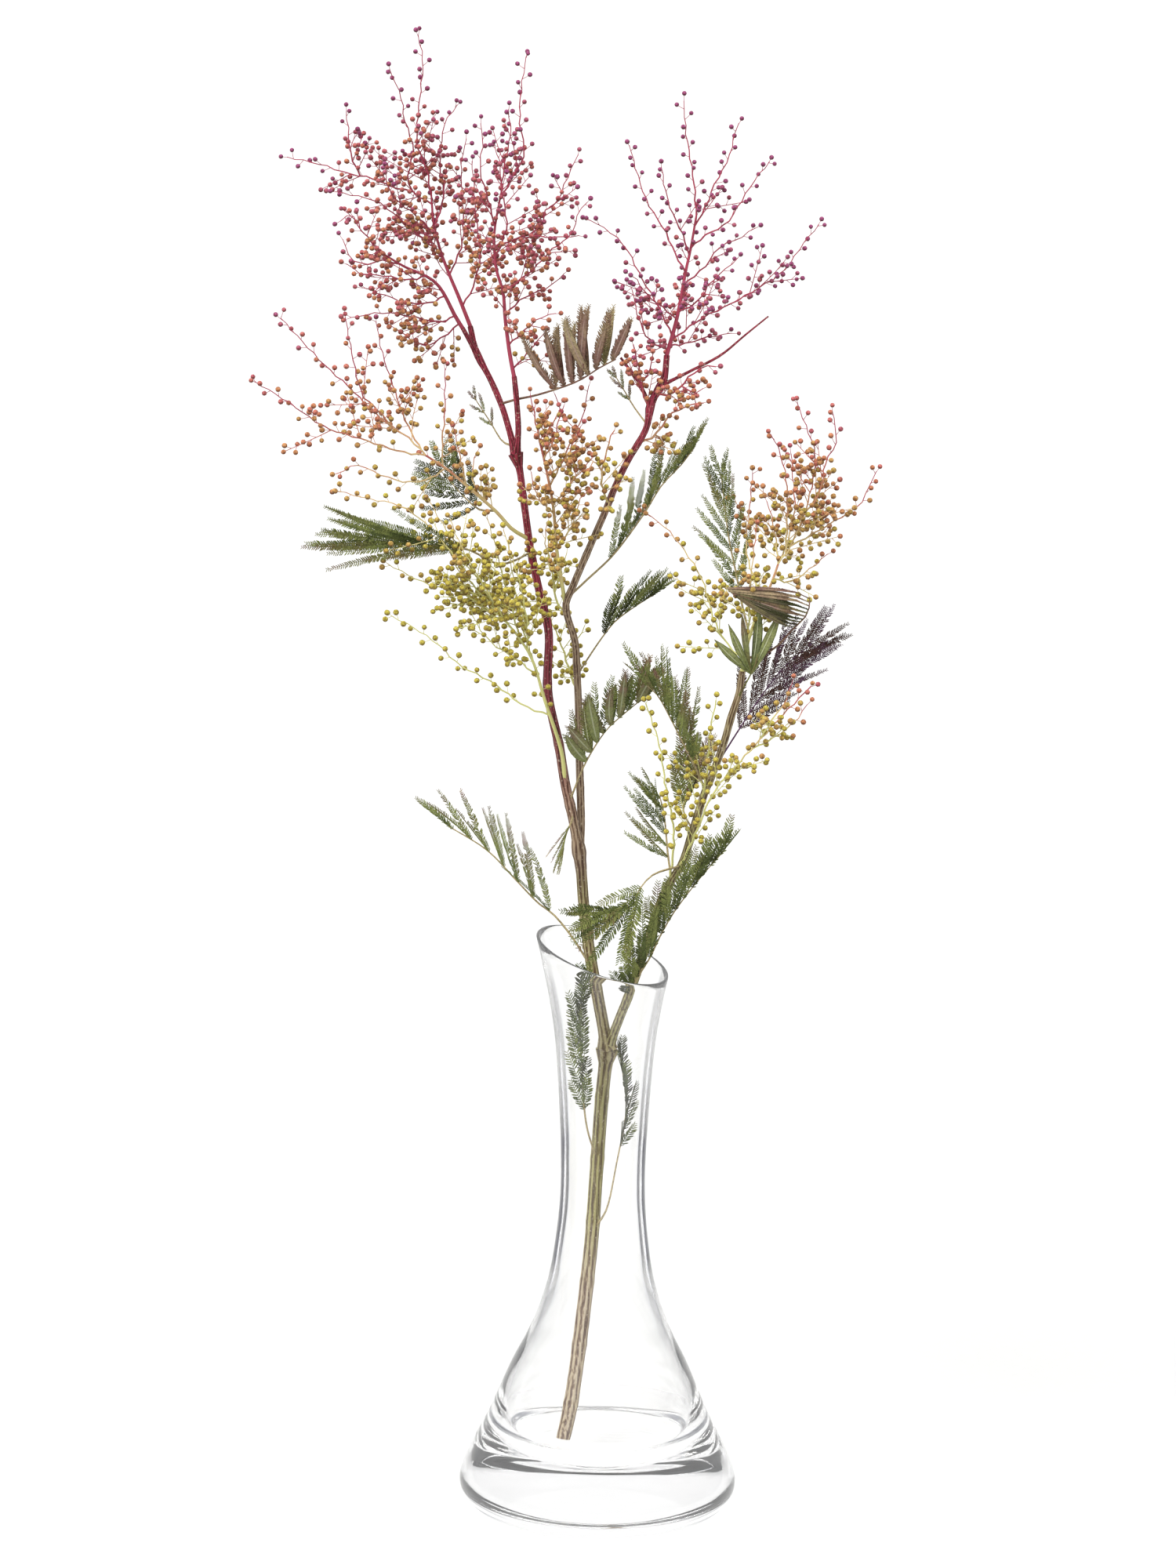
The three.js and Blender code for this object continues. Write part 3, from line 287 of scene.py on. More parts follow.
        [(58, -35, 340), (67, -33, 344), (76, -31, 351), (81, -30, 358)],
        [(62, -37, 345), (66, -42, 353), (71, -44, 361), (74, -45, 369)],
    ],
    "spray_right_middle": [
        [(38, -16, 314), (40, -26, 328), (41, -32, 346), (43, -35, 360)],
    ],
    "spray_right_top": [
        [(54, -20, 370), (56, -20, 382), (60, -20, 394), (65, -19, 406), (68, -18, 415)],
        [(68, -18, 415), (67, -14, 424), (65, -11, 434), (63, -9, 440)],
        [
            (68, -18, 415), (73, -20, 423), (78, -22, 436), (81, -24, 449), (82, -25, 462),
            (78, -26, 473), (74, -26, 483),
        ],
        [(73, -20, 423), (84, -18, 429), (94, -16, 435), (102, -15, 441), (108, -14, 454)],
        [(78, -22, 436), (84, -28, 446), (86, -32, 459), (90, -34, 469), (88, -35, 481)],
        [(70, -19, 420), (71, -26, 436), (70, -31, 452), (66, -34, 466), (63, -36, 471)],
        [(66, -19, 409), (74, -12, 407), (83, -8, 413), (89, -6, 418)],
        [(63, -20, 399), (58, -12, 409), (55, -7, 420), (56, -4, 436), (57, -3, 451)],
        [(68, -18, 415), (72, -8, 423), (75, -2, 436), (74, 2, 449), (73, 4, 459)],
        [
            (54, -20, 374), (44, -14, 386), (37, -10, 406), (31, -8, 416), (22, -6, 427),
            (12, -4, 434),
        ],
        [(56, -20, 379), (56, -30, 393), (56, -36, 407), (57, -39, 421), (58, -41, 434)],
    ],
}

# The fronds: route of the rachis, where the upper side looks, share of the rachis before the
# first pinnae, pinna length, spread and fold in degrees.
FRONDS = {
    "frond_vase_left": (
        [(-4, 11, 151), (-7, 3, 167), (-9, 0, 182), (-10, -1, 199), (-11, -1, 216), (-10, 0, 230)],
        (0, -1, 0.2), 0.35, 17, 16, 20,
    ),
    "frond_vase_right": (
        [
            (-4, 9, 121), (2, 5, 132), (6, 2, 154), (9, 0, 172), (9, -2, 184), (7, -4, 197),
            (6, -4, 203),
        ],
        (1, -0.6, 0), 0.5, 14, 20, 20,
    ),
    "frond_rim_left": (
        [
            (-8, 13, 235), (-15, 17, 248), (-23, 20, 257), (-30, 21, 262), (-39, 22, 271),
            (-52, 23, 284), (-69, 25, 294),
        ],
        (0.6, -0.2, 1), 0.35, 30, 34, 50,
    ),
    "frond_rim_front": (
        [
            (30, -13, 286), (19, -24, 284), (13, -31, 279), (10, -34, 274), (5, -36, 271),
            (-2, -38, 270),
        ],
        (0, -1, 0), 0.55, 27, 22, 0,
    ),
    "frond_rim_right": (
        [
            (9, 4, 224), (13, -8, 236), (18, -14, 246), (22, -18, 256), (28, -22, 268),
            (38, -27, 283), (48, -31, 296),
        ],
        (-1, -0.2, 0.8), 0.05, 27, 32, 55,
    ),
    "frond_right_lower": (
        [(27, -12, 279), (25, -4, 288), (24, 1, 297), (23, 4, 305), (21, 6, 312)],
        (-1, -0.3, 0.4), 0.3, 24, 50, 60,
    ),
    "frond_right_inner": (
        [(35, -15, 301), (31, -6, 308), (33, -3, 317), (36, -1, 327)],
        (-0.5, -1, 0), 0.4, 22, 24, 20,
    ),
    "frond_right_upper": (
        [(40, -17, 319), (32, -24, 336), (25, -29, 350), (19, -33, 361), (13, -36, 367)],
        (0.5, -0.3, 1), 0.3, 27, 42, 35,
    ),
    "frond_right_purple": (
        [(44, -18, 329), (54, -8, 344), (61, -2, 354), (72, 4, 368), (84, 8, 378)],
        (0, -1, 0.2), 0.3, 30, 28, 10,
    ),
    "frond_right_rolled": (
        [(55, -20, 375), (66, -26, 380), (74, -29, 389), (80, -31, 396), (81, -32, 403)],
        (-1, 0, 0.1), 0.55, 32, 84, 62,
    ),
    "frond_right_folded": (
        [(52, -20, 359), (56, -27, 367), (59, -30, 374), (60, -31, 379)],
        (0, -1, 0.3), 0.75, 25, 22, 0,
    ),
    "frond_right_tall": (
        [(57, -20, 385), (54, -9, 395), (51, -4, 409), (48, -2, 422), (46, 0, 435), (44, 2, 450)],
        (-0.4, -1, 0.2), 0.3, 21, 30, 10,
    ),
    "frond_along_fork": (
        [
            (-19, 3, 397), (-11, 6, 404), (0, 6, 415), (12, 5, 432), (19, 4, 444), (27, 3, 453),
            (32, 2, 460),
        ],
        (-0.8, 0.6, 0.6), 0.3, 24, 26, 55,
    ),
    "frond_back_small": (
        [(-14, 17, 362), (-9, 22, 370), (-4, 26, 377), (1, 29, 383), (9, 31, 389), (17, 33, 394)],
        (-0.6, 0, 1), 0.45, 21, 28, 45,
    ),
    "frond_stem_folded": (
        [(-17, 10, 308), (-11, -2, 326), (-3, -9, 341), (5, -14, 350), (16, -18, 360)],
        (-0.7, -0.2, 0.7), 0.35, 25, 50, 65,
    ),
    "frond_far_left": (
        [
            (-36, 1, 416), (-42, -8, 413), (-49, -17, 413), (-60, -22, 419), (-69, -28, 421),
            (-85, -34, 423), (-101, -38, 424),
        ],
        (0, -1, 0), 0.5, 42, 12, 0,
    ),
    "frond_upper": (
        [
            (-49, 5, 477), (-42, -2, 480), (-32, -8, 483), (-17, -14, 489), (-8, -17, 495),
            (-1, -19, 499),
        ],
        (-0.5, 0, 1), 0.5, 30, 80, 76,
    ),
    "frond_left_dark": (
        [(-50, -8, 434), (-57, 3, 433), (-64, 9, 438), (-70, 13, 444), (-74, 15, 448)],
        (0, -1, 0), 0.4, 20, 50, 0,
    ),
    "frond_left_thin": (
        [(-43, 1, 460), (-48, 12, 461), (-53, 18, 468), (-60, 21, 478)],
        (0, -1, 0), 0.6, 8, 30, 0,
    ),
    "frond_fork_thin": (
        [(13, -16, 472), (7, -5, 478), (3, 0, 484), (-1, 3, 490)],
        (0, -1, 0), 0.6, 8, 26, 0,
    ),
    "frond_stem_hanging": (
        [(-15, 10, 302), (-16, 2, 301), (-18, -1, 297), (-20, -2, 289)],
        (-1, -0.5, 0), 0.5, 16, 20, 0,
    ),
}

# How far a spray, and then its tips, are ahead in colour, where height alone doesn't tell, how
# full of side shoots it is, the height below which it has none and that above which it has few.
BUDDING = {
    "spray_right_crown": (0.26, 0.12, 0.95, 0, 554),
    "spray_left_crown": (-0.18, 0.34, 1.4, 0, 592),
    "spray_low_left_crown": (-0.06, 0.05, 1.4, 0, 900),
    "spray_middle_crown": (-0.03, 0.14, 1.3, 0, 590),
    "spray_fork_left": (0.1, 0.0, 1.0, 0, 900),
    "spray_fork_right": (0.1, 0.0, 1.0, 0, 900),
    "spray_centre": (0.05, 0.1, 2.6, 0, 900),
    "spray_left": (-0.01, 0.12, 0.5, 0, 900),
    "spray_low_left": (-0.03, 0.08, 1.6, 371, 900),
    "spray_right_low": (0.04, 0.0, 0.0, 0, 900),
    "spray_right_middle": (0.05, 0.0, 0.3, 0, 900),
    "spray_right_top": (0.02, 0.22, 1.05, 0, 900),
    "spray_right_long": (0.16, 0.45, 0.8, 0, 900),
}

# A spray that isn't in the table.
PLAIN = (0.0, 0.0, 1.0, 0, 900)

# How a frond has dried: size of its leaflets, share of its pinnae that have closed into
# blades and half their width, how brown it is, and how many pinnae it has a side.
HABITS = {
    "frond_vase_left": (2.1, 0.0, 0.0, -0.15, 7),
    "frond_vase_right": (1.9, 0.0, 0.0, -0.15, 7),
    "frond_rim_left": (1.15, 0.0, 0.0, 0.2, 7),
    "frond_rim_front": (1.8, 0.0, 0.0, 0.14, 7),
    "frond_rim_right": (2.0, 0.0, 0.0, 0.08, 14),
    "frond_right_lower": (1.05, 0.0, 0.0, 0.15, 6),
    "frond_right_inner": (1.8, 0.0, 0.0, 0.4, 7),
    "frond_right_upper": (1.55, 0.0, 0.0, 0.22, 12),
    "frond_right_purple": (1.1, 0.0, 0.0, 0.15, 12),
    "frond_right_rolled": (0.5, 1.0, 1.2, 0.2, 10),
    "frond_right_folded": (0.4, 1.0, 1.8, 0.02, 5),
    "frond_right_tall": (1.1, 0.0, 0.0, 0.1, 9),
    "frond_along_fork": (1.1, 0.0, 0.0, 0.1, 11),
    "frond_back_small": (1.5, 0.0, 0.0, 0.0, 7),
    "frond_stem_folded": (1.8, 0.6, 2.2, 0.1, 9),
    "frond_far_left": (1.35, 0.1, 1.2, 0.15, 8),
    "frond_upper": (1.6, 0.85, 1.8, 0.27, 8),
    "frond_left_dark": (1.3, 0.0, 0.0, -0.15, 7),
    "frond_left_thin": (0.6, 0.0, 0.0, 0.3, 3),
    "frond_fork_thin": (0.6, 0.0, 0.0, 0.4, 3),
    "frond_stem_hanging": (0.8, 0.0, 0.0, 0.3, 4),
}

# The blades of the folded frond, from its apex, and half their widths.
FOLDED = [
    ((42, -34, 385), 2.0), ((47.5, -37, 392), 1.7), ((53, -32, 396), 1.4), ((60, -28, 399), 2.2),
    ((69, -31, 397), 2.2),
]

# The tip that the rolled frond's blades meet at runs from one point to the other.
ROLLED_TIP = np.array((52.0, -42.0, 403.0)), np.array((46.0, -42.0, 408.0))

# The places of a pinna's rib, from its root to its tip, and there the width of a closed blade
# and the size of the leaflets, as shares of the largest.
RIB = np.linspace(0, 1, 7)
LENS = (0.2, 0.7, 0.95, 1.0, 0.9, 0.6, 0.12)
LEAFLETS = (0.7, 0.95, 1.0, 1.0, 0.95, 0.8, 0.5)

# ---- The vase, in millimetres ----

# Radii and heights along its walls, the underside and the dished floor. The wall is 2.2 mm
# thick at the waist and thins to 1.4 mm at the rim.
VASE = {
    "floor": 24.5,
    "rim_height": 243.5,
    "rim_slope": (-0.3, 0.13),
    "underside": [(0, 1.1), (7.0, 1.2), (20.0, 1.1), (31.0, 0.6), (39.0, 0.1), (43.0, 0.0)],
    "outside": [
        (43, 0), (50.5, 1.6), (56.6, 6.2), (59.6, 13.5), (56, 25), (47.6, 42), (38, 64.5),
        (31, 78.5), (25, 94.5), (20.8, 113), (18.1, 146), (20.4, 195), (24, 223.5), (32.4, 262),
    ],
    "inside": [
        (29, 24.5), (37.5, 31), (41.2, 42), (34.8, 64.5), (22.8, 94.5), (18.6, 113), (15.9, 146),
        (18.3, 195), (22.3, 223.5), (31.3, 262),
    ],
    "dish": [(22.0, 24.3), (14.0, 24.2), (6.0, 24.2), (0, 24.2)],
}

# How much painted shade the glass gets at its edges, at heights above the table. The thick foot
# gets none, the rim nearly none, and the wall the most round the waist.
EDGE_SHADE_AT = ((45, 0), (80, 0.3), (112, 1), (165, 1), (190, 0.8), (230, 0.55), (240, 0.15))
EDGE_SHADE_SCALE = 300


# ---- Axes and growth rules ----


def unit(vector):
    return vector / np.linalg.norm(vector)


def square_to(axis):
    """Two unit vectors square to an axis and to each other."""
    pole = np.array((0, 0, 1.0)) if abs(axis[2]) < 0.9 else np.array((1.0, 0, 0))
    across = unit(np.cross(pole, axis))
    return across, np.cross(axis, across)


def leaving(tangent, turn, lean):
    """The direction that leaves an axis at "turn" round it, leaning "lean" towards its tip."""
    across, up = square_to(tangent)
    return (
        across * math.cos(turn) * math.cos(lean)
        + up * math.sin(turn) * math.cos(lean)
        + tangent * math.sin(lean)
    )


def chance(family, member):
    """A number from 0 to 1 that depends on the two numbers alone. Draws of different kinds add
    different numbers to the member, which keeps them apart."""
    value = math.sin(family * 12.9898 + member * 78.233) * 43758.5453
    return value - math.floor(value)


def mix(a, b, share):
    return a + (b - a) * share


class Axis:
    """A smooth curve through points, measured by its length."""

    STEPS = 200
    # The share of the curve on each side that gives its direction at a place.
    NEAR = 0.006

    def __init__(self, points, base, tip):
        self.knots = np.array(points, float)
        if len(self.knots) == 1:
            raise ValueError("an axis needs two points")
        self.base, self.tip = base, tip
        self.table = np.array([self.curve(i / self.STEPS) for i in range(self.STEPS + 1)])
        reach = np.linalg.norm(np.diff(self.table, axis=0), axis=1)
        self.measure = np.concatenate(([0.0], np.cumsum(reach)))
        self.length = float(self.measure[-1])

    def curve(self, t):
        """The Catmull-Rom curve through the knots, its ends drawn on in a straight line."""
        knots, last = self.knots, len(self.knots) - 1
        i = min(int(t * last), last - 1)
        w = t * last - i
        p1, p2 = knots[i], knots[i + 1]
        p0 = knots[i - 1] if i > 0 else 2 * p1 - p2
        p3 = knots[i + 2] if i + 2 <= last else 2 * p2 - p1
        t0, t1 = (p2 - p0) / 2, (p3 - p1) / 2
        return (
            p1
            + t0 * w
            + (3 * (p2 - p1) - 2 * t0 - t1) * w**2
            + (2 * (p1 - p2) + t0 + t1) * w**3
        )

    def point_at(self, share):
        along = min(max(share, 0.0), 1.0) * self.length
        return np.array([np.interp(along, self.measure, self.table[:, k]) for k in range(3)])

    def tangent_at(self, share):
        return unit(self.point_at(share + self.NEAR) - self.point_at(share - self.NEAR))

    def radius_at(self, share):
        return mix(self.base, self.tip, share)


def rooted_axis(route, carriers, base, tip):
    """An axis whose root is moved onto the nearest of the axes that may carry it."""
    points = [np.array(p, float) for p in route]
    if carriers:
        table = np.concatenate([carrier.table for carrier in carriers])
        points[0] = table[np.argmin(np.linalg.norm(table - points[0], axis=1))]
    return Axis(points, base, tip)


class Strands:
    """Lines and loose points with values on them, which a growth tree makes into a mesh."""

    def __init__(self, **defaults):
        self.places, self.edges = [], []
        self.values = {name: [] for name in defaults}
        self.defaults = defaults

    def point(self, place, **values):
        self.places.append(place)
        for name, default in self.defaults.items():
            self.values[name].append(values.get(name, default))

    def line(self, places, **values):
        """Adds a line. A value is one for the whole line, or a list with one for each place."""
        start = len(self.places)
        for i, place in enumerate(places):
            own = {k: v[i] if isinstance(v, list) else v for k, v in values.items()}
            self.point(place, **own)
        self.edges += [(start + i, start + i + 1) for i in range(len(places) - 1)]

    def mesh(self, name):
        mesh = bpy.data.meshes.new(name)
        mesh.from_pydata([Vector(p) * MM for p in self.places], self.edges, [])
        for key, values in self.values.items():
            is_vector = np.ndim(self.defaults[key]) == 1
            kind = "FLOAT_VECTOR" if is_vector else "FLOAT"
            layer = mesh.attributes.new(key, kind, "POINT")
            layer.data.foreach_set("vector" if is_vector else "value", np.ravel(values))
        return mesh


# ---- Nodes ----


def linear(code):
    """An sRGB hex colour such as "#a0b0c0" as linear red, green, blue and 1."""
    parts = [int(code[i : i + 2], 16) / 255 for i in (1, 3, 5)]
    return tuple(p / 12.92 if p <= 0.04045 else ((p + 0.055) / 1.055) ** 2.4 for p in parts) + (1,)


WHITE = linear("#ffffff")


def add(tree, kind, settings=None, inputs=None):
    """Adds a node. An input, by its name or number, is a value or the socket that feeds it."""
    node = tree.nodes.new(kind)
    for key, value in (settings or {}).items():
        setattr(node, key, value)
    for key, value in (inputs or {}).items():
        if isinstance(value, bpy.types.NodeSocket):
            tree.links.new(value, node.inputs[key])
        else:
            node.inputs[key].default_value = value
    return node


def set_stops(ramp, stops):
    """Gives a Color Ramp node its stops, each a position and a linear colour or a grey."""
    elements = ramp.color_ramp.elements
    while len(elements) < len(stops):
        elements.new(1.0)
    for element, (position, colour) in zip(elements, stops):
        grey = isinstance(colour, (int, float))
        element.position = position
        element.color = (colour,) * 3 + (1,) if grey else tuple(colour[:3]) + (1,)


def shaded(tree, colour, share, factor, stops):
    """A colour multiplied by a share of the ramp that a factor runs along."""
    ramp = add(tree, "ShaderNodeValToRGB", None, {"Fac": factor})
    set_stops(ramp, stops)
    return add(
        tree,
        "ShaderNodeMix",
        {"data_type": "RGBA", "blend_type": "MULTIPLY"},
        {0: share, 6: colour, 7: ramp.outputs["Color"]},
    ).outputs[2]


def covered(tree, colour, cover, factor, stops):
    """A colour with another laid over it, as far as the grey ramp that a factor runs along."""
    ramp = add(tree, "ShaderNodeValToRGB", None, {"Fac": factor})
    set_stops(ramp, stops)
    return add(
        tree,
        "ShaderNodeMix",
        {"data_type": "RGBA"},
        {0: ramp.outputs["Color"], 6: colour, 7: cover},
    ).outputs[2]


def new_material(name):
    """A material with an empty tree. Returns it, its tree and its Object coordinates."""
    material = bpy.data.materials.new(name)
    material.use_nodes = True
    tree = material.node_tree
    tree.nodes.clear()
    return material, tree, add(tree, "ShaderNodeTexCoord").outputs["Object"]


def finish_material(tree, inputs):
    """Ends a material's tree with its shader, which has the given inputs."""
    shader = add(tree, "ShaderNodeBsdfPrincipled", None, inputs)
    add(tree, "ShaderNodeOutputMaterial", None, {"Surface": shader.outputs["BSDF"]})


def new_growth(name, sockets):
    """A geometry tree with named inputs. Returns it and the sockets of those inputs."""
    tree = bpy.data.node_groups.new(name, "GeometryNodeTree")
    tree.interface.new_socket("Geometry", in_out="INPUT", socket_type="NodeSocketGeometry")
    for label, kind in sockets.items():
        tree.interface.new_socket(label, in_out="INPUT", socket_type="NodeSocket" + kind)
    tree.interface.new_socket("Geometry", in_out="OUTPUT", socket_type="NodeSocketGeometry")
    return tree, add(tree, "NodeGroupInput").outputs


def split_by(tree, geometry, name, least):
    """Parts the points at which an attribute is over a value from the others."""
    value = add(tree, "GeometryNodeInputNamedAttribute", {"data_type": "FLOAT"}, {"Name": name})
    chosen = add(
        tree,
        "FunctionNodeCompare",
        {"data_type": "FLOAT", "operation": "GREATER_THAN"},
        {0: value.outputs[0], 1: least},
    )
    return add(
        tree,
        "GeometryNodeSeparateGeometry",
        {"domain": "POINT"},
        {0: geometry, "Selection": chosen.outputs[0]},
    )


def tubes_along(tree, lines, profile, scale="thickness"):
    """A closed tube of a profile along every line, as thick as an attribute says."""
    size = add(tree, "GeometryNodeInputNamedAttribute", {"data_type": "FLOAT"}, {"Name": scale})
    return add(
        tree,
        "GeometryNodeCurveToMesh",
        None,
        {
            "Curve": lines,
            "Profile Curve": profile,
            "Scale": size.outputs[0],
            "Fill Caps": True,
        },
    )


def finished(tree, geometry, material, smooth=True):
    """Real faces of one material."""
    if smooth:
        smoothed = add(
            tree, "GeometryNodeSetShadeSmooth", None, {0: geometry, "Shade Smooth": True}
        )
        geometry = smoothed.outputs[0]
    real = add(tree, "GeometryNodeRealizeInstances", None, {0: geometry})
    return add(
        tree,
        "GeometryNodeSetMaterial",
        None,
        {"Geometry": real.outputs[0], "Material": material},
    )


def grown(name, mesh, tree, values):
    """The plain mesh that a growth tree makes of lines and points, as an object."""
    seed = placed(name + "_seed", mesh)
    modifier = seed.modifiers.new("Growth", "NODES")
    modifier.node_group = tree
    for item in tree.interface.items_tree:
        if item.in_out == "INPUT" and item.name in values:
            modifier[item.identifier] = values[item.name]
    view = bpy.context.evaluated_depsgraph_get()
    made = bpy.data.meshes.new_from_object(
        seed.evaluated_get(view), preserve_all_data_layers=True, depsgraph=view
    )
    seed.modifiers.clear()
    bpy.data.objects.remove(seed)
    bpy.data.meshes.remove(mesh)
    made.name = name
    return placed(name, made)


def placed(name, data):
    """An object in the scene with a mesh, a lamp or a camera's lens."""
    piece = bpy.data.objects.new(name, data)
    bpy.context.scene.collection.objects.link(piece)
    return piece


def dress(piece, node):
    """Lets a piece stand for a CAD node."""
    if not piece.data.polygons:
        raise RuntimeError(piece.name + " has no faces")
    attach(piece, "root")
    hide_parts(node)


# ---- Glass vase ----


def clear_glass(settings):
    """Blown soda-lime glass, fire polished: clear in the middle, with painted shade, grey and then
    near black, where the wall turns away from the view, most of all at the waist. The shade stands
    in for the dark edges that refraction shows. A faint waviness bends the reflections."""
    material, tree, place = new_material("soda_lime_glass_blown")
    # Waves 28 mm long.
    drift = add(
        tree,
        "ShaderNodeTexNoise",
        None,
        {"Vector": place, "Scale": 1 / (28 * MM), "Detail": 1.0},
    )
    # Painted shade: where the wall turns away from the view, the glass is tinted grey and then
    # near black.
    edge = add(tree, "ShaderNodeLayerWeight", None, {"Blend": 0.5})
    uneven = add(
        tree,
        "ShaderNodeMath",
        {"operation": "MULTIPLY_ADD"},
        {0: drift.outputs["Fac"], 1: 0.16, 2: -0.08},
    )
    edge_shade_factor = add(
        tree,
        "ShaderNodeMath",
        {"operation": "ADD"},
        {0: edge.outputs["Facing"], 1: uneven.outputs[0]},
    )
    painted_edge_tint = add(tree, "ShaderNodeValToRGB", None, {"Fac": edge_shade_factor.outputs[0]})
    set_stops(
        painted_edge_tint,
        [
            (0.53, WHITE),
            (0.59, settings.painted_edge_tint),
            (0.63, settings.edge),
            (0.84, settings.edge),
            (0.91, settings.painted_edge_tint),
        ],
    )
    parts = add(tree, "ShaderNodeSeparateXYZ", None, {0: place})
    height = add(
        tree,
        "ShaderNodeMath",
        {"operation": "MULTIPLY"},
        {0: parts.outputs[2], 1: 1 / (EDGE_SHADE_SCALE * MM)},
    )
    edge_shade_by_height = [(z / EDGE_SHADE_SCALE, share) for z, share in EDGE_SHADE_AT]
    bump = add(
        tree,
        "ShaderNodeBump",
        None,
        {"Strength": 0.25, "Distance": 0.4 * MM, "Height": drift.outputs["Fac"]},
    )
    finish_material(
        tree,
        {
            "Base Color": covered(tree, WHITE, painted_edge_tint.outputs["Color"], height.outputs[0], edge_shade_by_height),
            "Roughness": 0.0,
            "IOR": 1.5,
            "Specular IOR Level": 0.35,
            # Thin clean walls hardly veil what stands behind them.
            "Specular Tint": (0.4, 0.4, 0.42, 1.0),
            "Transmission Weight": 1.0,
            # A little under 1 lets out the light that the thick foot would trap.
            "Alpha": 0.96,
            "Normal": bump.outputs["Normal"],
        },
    )
    return material


def smooth_profile(points):
    """Radii and heights, close together, on the curve through a profile's points."""
    axis = Axis([(r, 0, z) for r, z in points], 1, 1)
    count = 16 * (len(points) - 1)
    table = np.array([axis.curve(i / count) for i in range(count + 1)])
    return table[:, 0], table[:, 2]


def rim_height_at(x, y):
    return VASE["rim_height"] + VASE["rim_slope"][0] * x + VASE["rim_slope"][1] * y


def rim_on(profile, angle):
    """Where a wall, at an angle round the vase, meets the slanted rim: radius and height."""
    radii, heights = profile
    height = VASE["rim_height"]
    for _ in range(30):  # each round comes closer, and thirty are far more than enough
        radius = np.interp(height, heights, radii)
        height = rim_height_at(radius * math.cos(angle), radius * math.sin(angle))
    return np.interp(height, heights, radii), height


def vase_mesh(settings):
    """One closed wall: underside, outer wall, rounded rim, inner wall and floor."""
    outer, inner = smooth_profile(VASE["outside"]), smooth_profile(VASE["inside"])
    count = settings.segments
    # The rings are closest at the foot and the floor. Above "flare" they tilt towards the rim.
    foot, bowl, flare, lip = 12, 46, 190, 8
    up = [*np.linspace(0, 1, 15)[1:] ** 2 * foot, *np.linspace(foot, flare, 70)[1:]]
    down = [*np.linspace(VASE["floor"], bowl, 16), *np.linspace(bowl, flare, 56)[1:]]
    shares = np.linspace(0, 1, 19)
    rings = []
    for turn in range(count):
        angle = 2 * math.pi * turn / count
        ring = VASE["underside"][1:]
        ring += [(np.interp(z, outer[1], outer[0]), z) for z in up]
        top_r, top_z = rim_on(outer, angle)
        low_r, low_z = rim_on(inner, angle)
        half = (top_r - low_r) / 2
        for share in shares[1:]:
            z = mix(flare, top_z - half, share)
            ring.append((np.interp(z, outer[1], outer[0]), z))
        start_r, end_r = ring[-1][0], np.interp(low_z - half, inner[1], inner[0])
        middle_r, middle_z = (start_r + end_r) / 2, (top_z + low_z) / 2 - half
        for step in range(1, lip):
            bend = math.pi * step / lip
            r = middle_r + (start_r - end_r) / 2 * math.cos(bend)
            ring.append((r, middle_z + half * math.sin(bend)))
        for share in shares[:-1]:
            z = mix(low_z - half, flare, share)
            ring.append((np.interp(z, inner[1], inner[0]), z))
        ring += [(np.interp(z, inner[1], inner[0]), z) for z in reversed(down)]
        ring += VASE["dish"][:-1]
        rings.append([(r * math.cos(angle), r * math.sin(angle), z) for r, z in ring])
    made = bmesh.new()
    corners = [[made.verts.new(Vector(p) * MM) for p in ring] for ring in rings]
    bottom = made.verts.new((0, 0, VASE["underside"][0][1] * MM))
    top = made.verts.new((0, 0, VASE["dish"][-1][1] * MM))
    for turn in range(count):
        here, there = corners[turn], corners[(turn + 1) % count]
        made.faces.new((bottom, there[0], here[0]))
        made.faces.new((here[-1], there[-1], top))
        for row in range(len(here) - 1):
            made.faces.new((here[row], there[row], there[row + 1], here[row + 1]))
    for face in made.faces:
        face.smooth = True
    mesh = bpy.data.meshes.new("blown_vase")
    made.to_mesh(mesh)
    made.free()
    return mesh


# ---- Woody stem ----


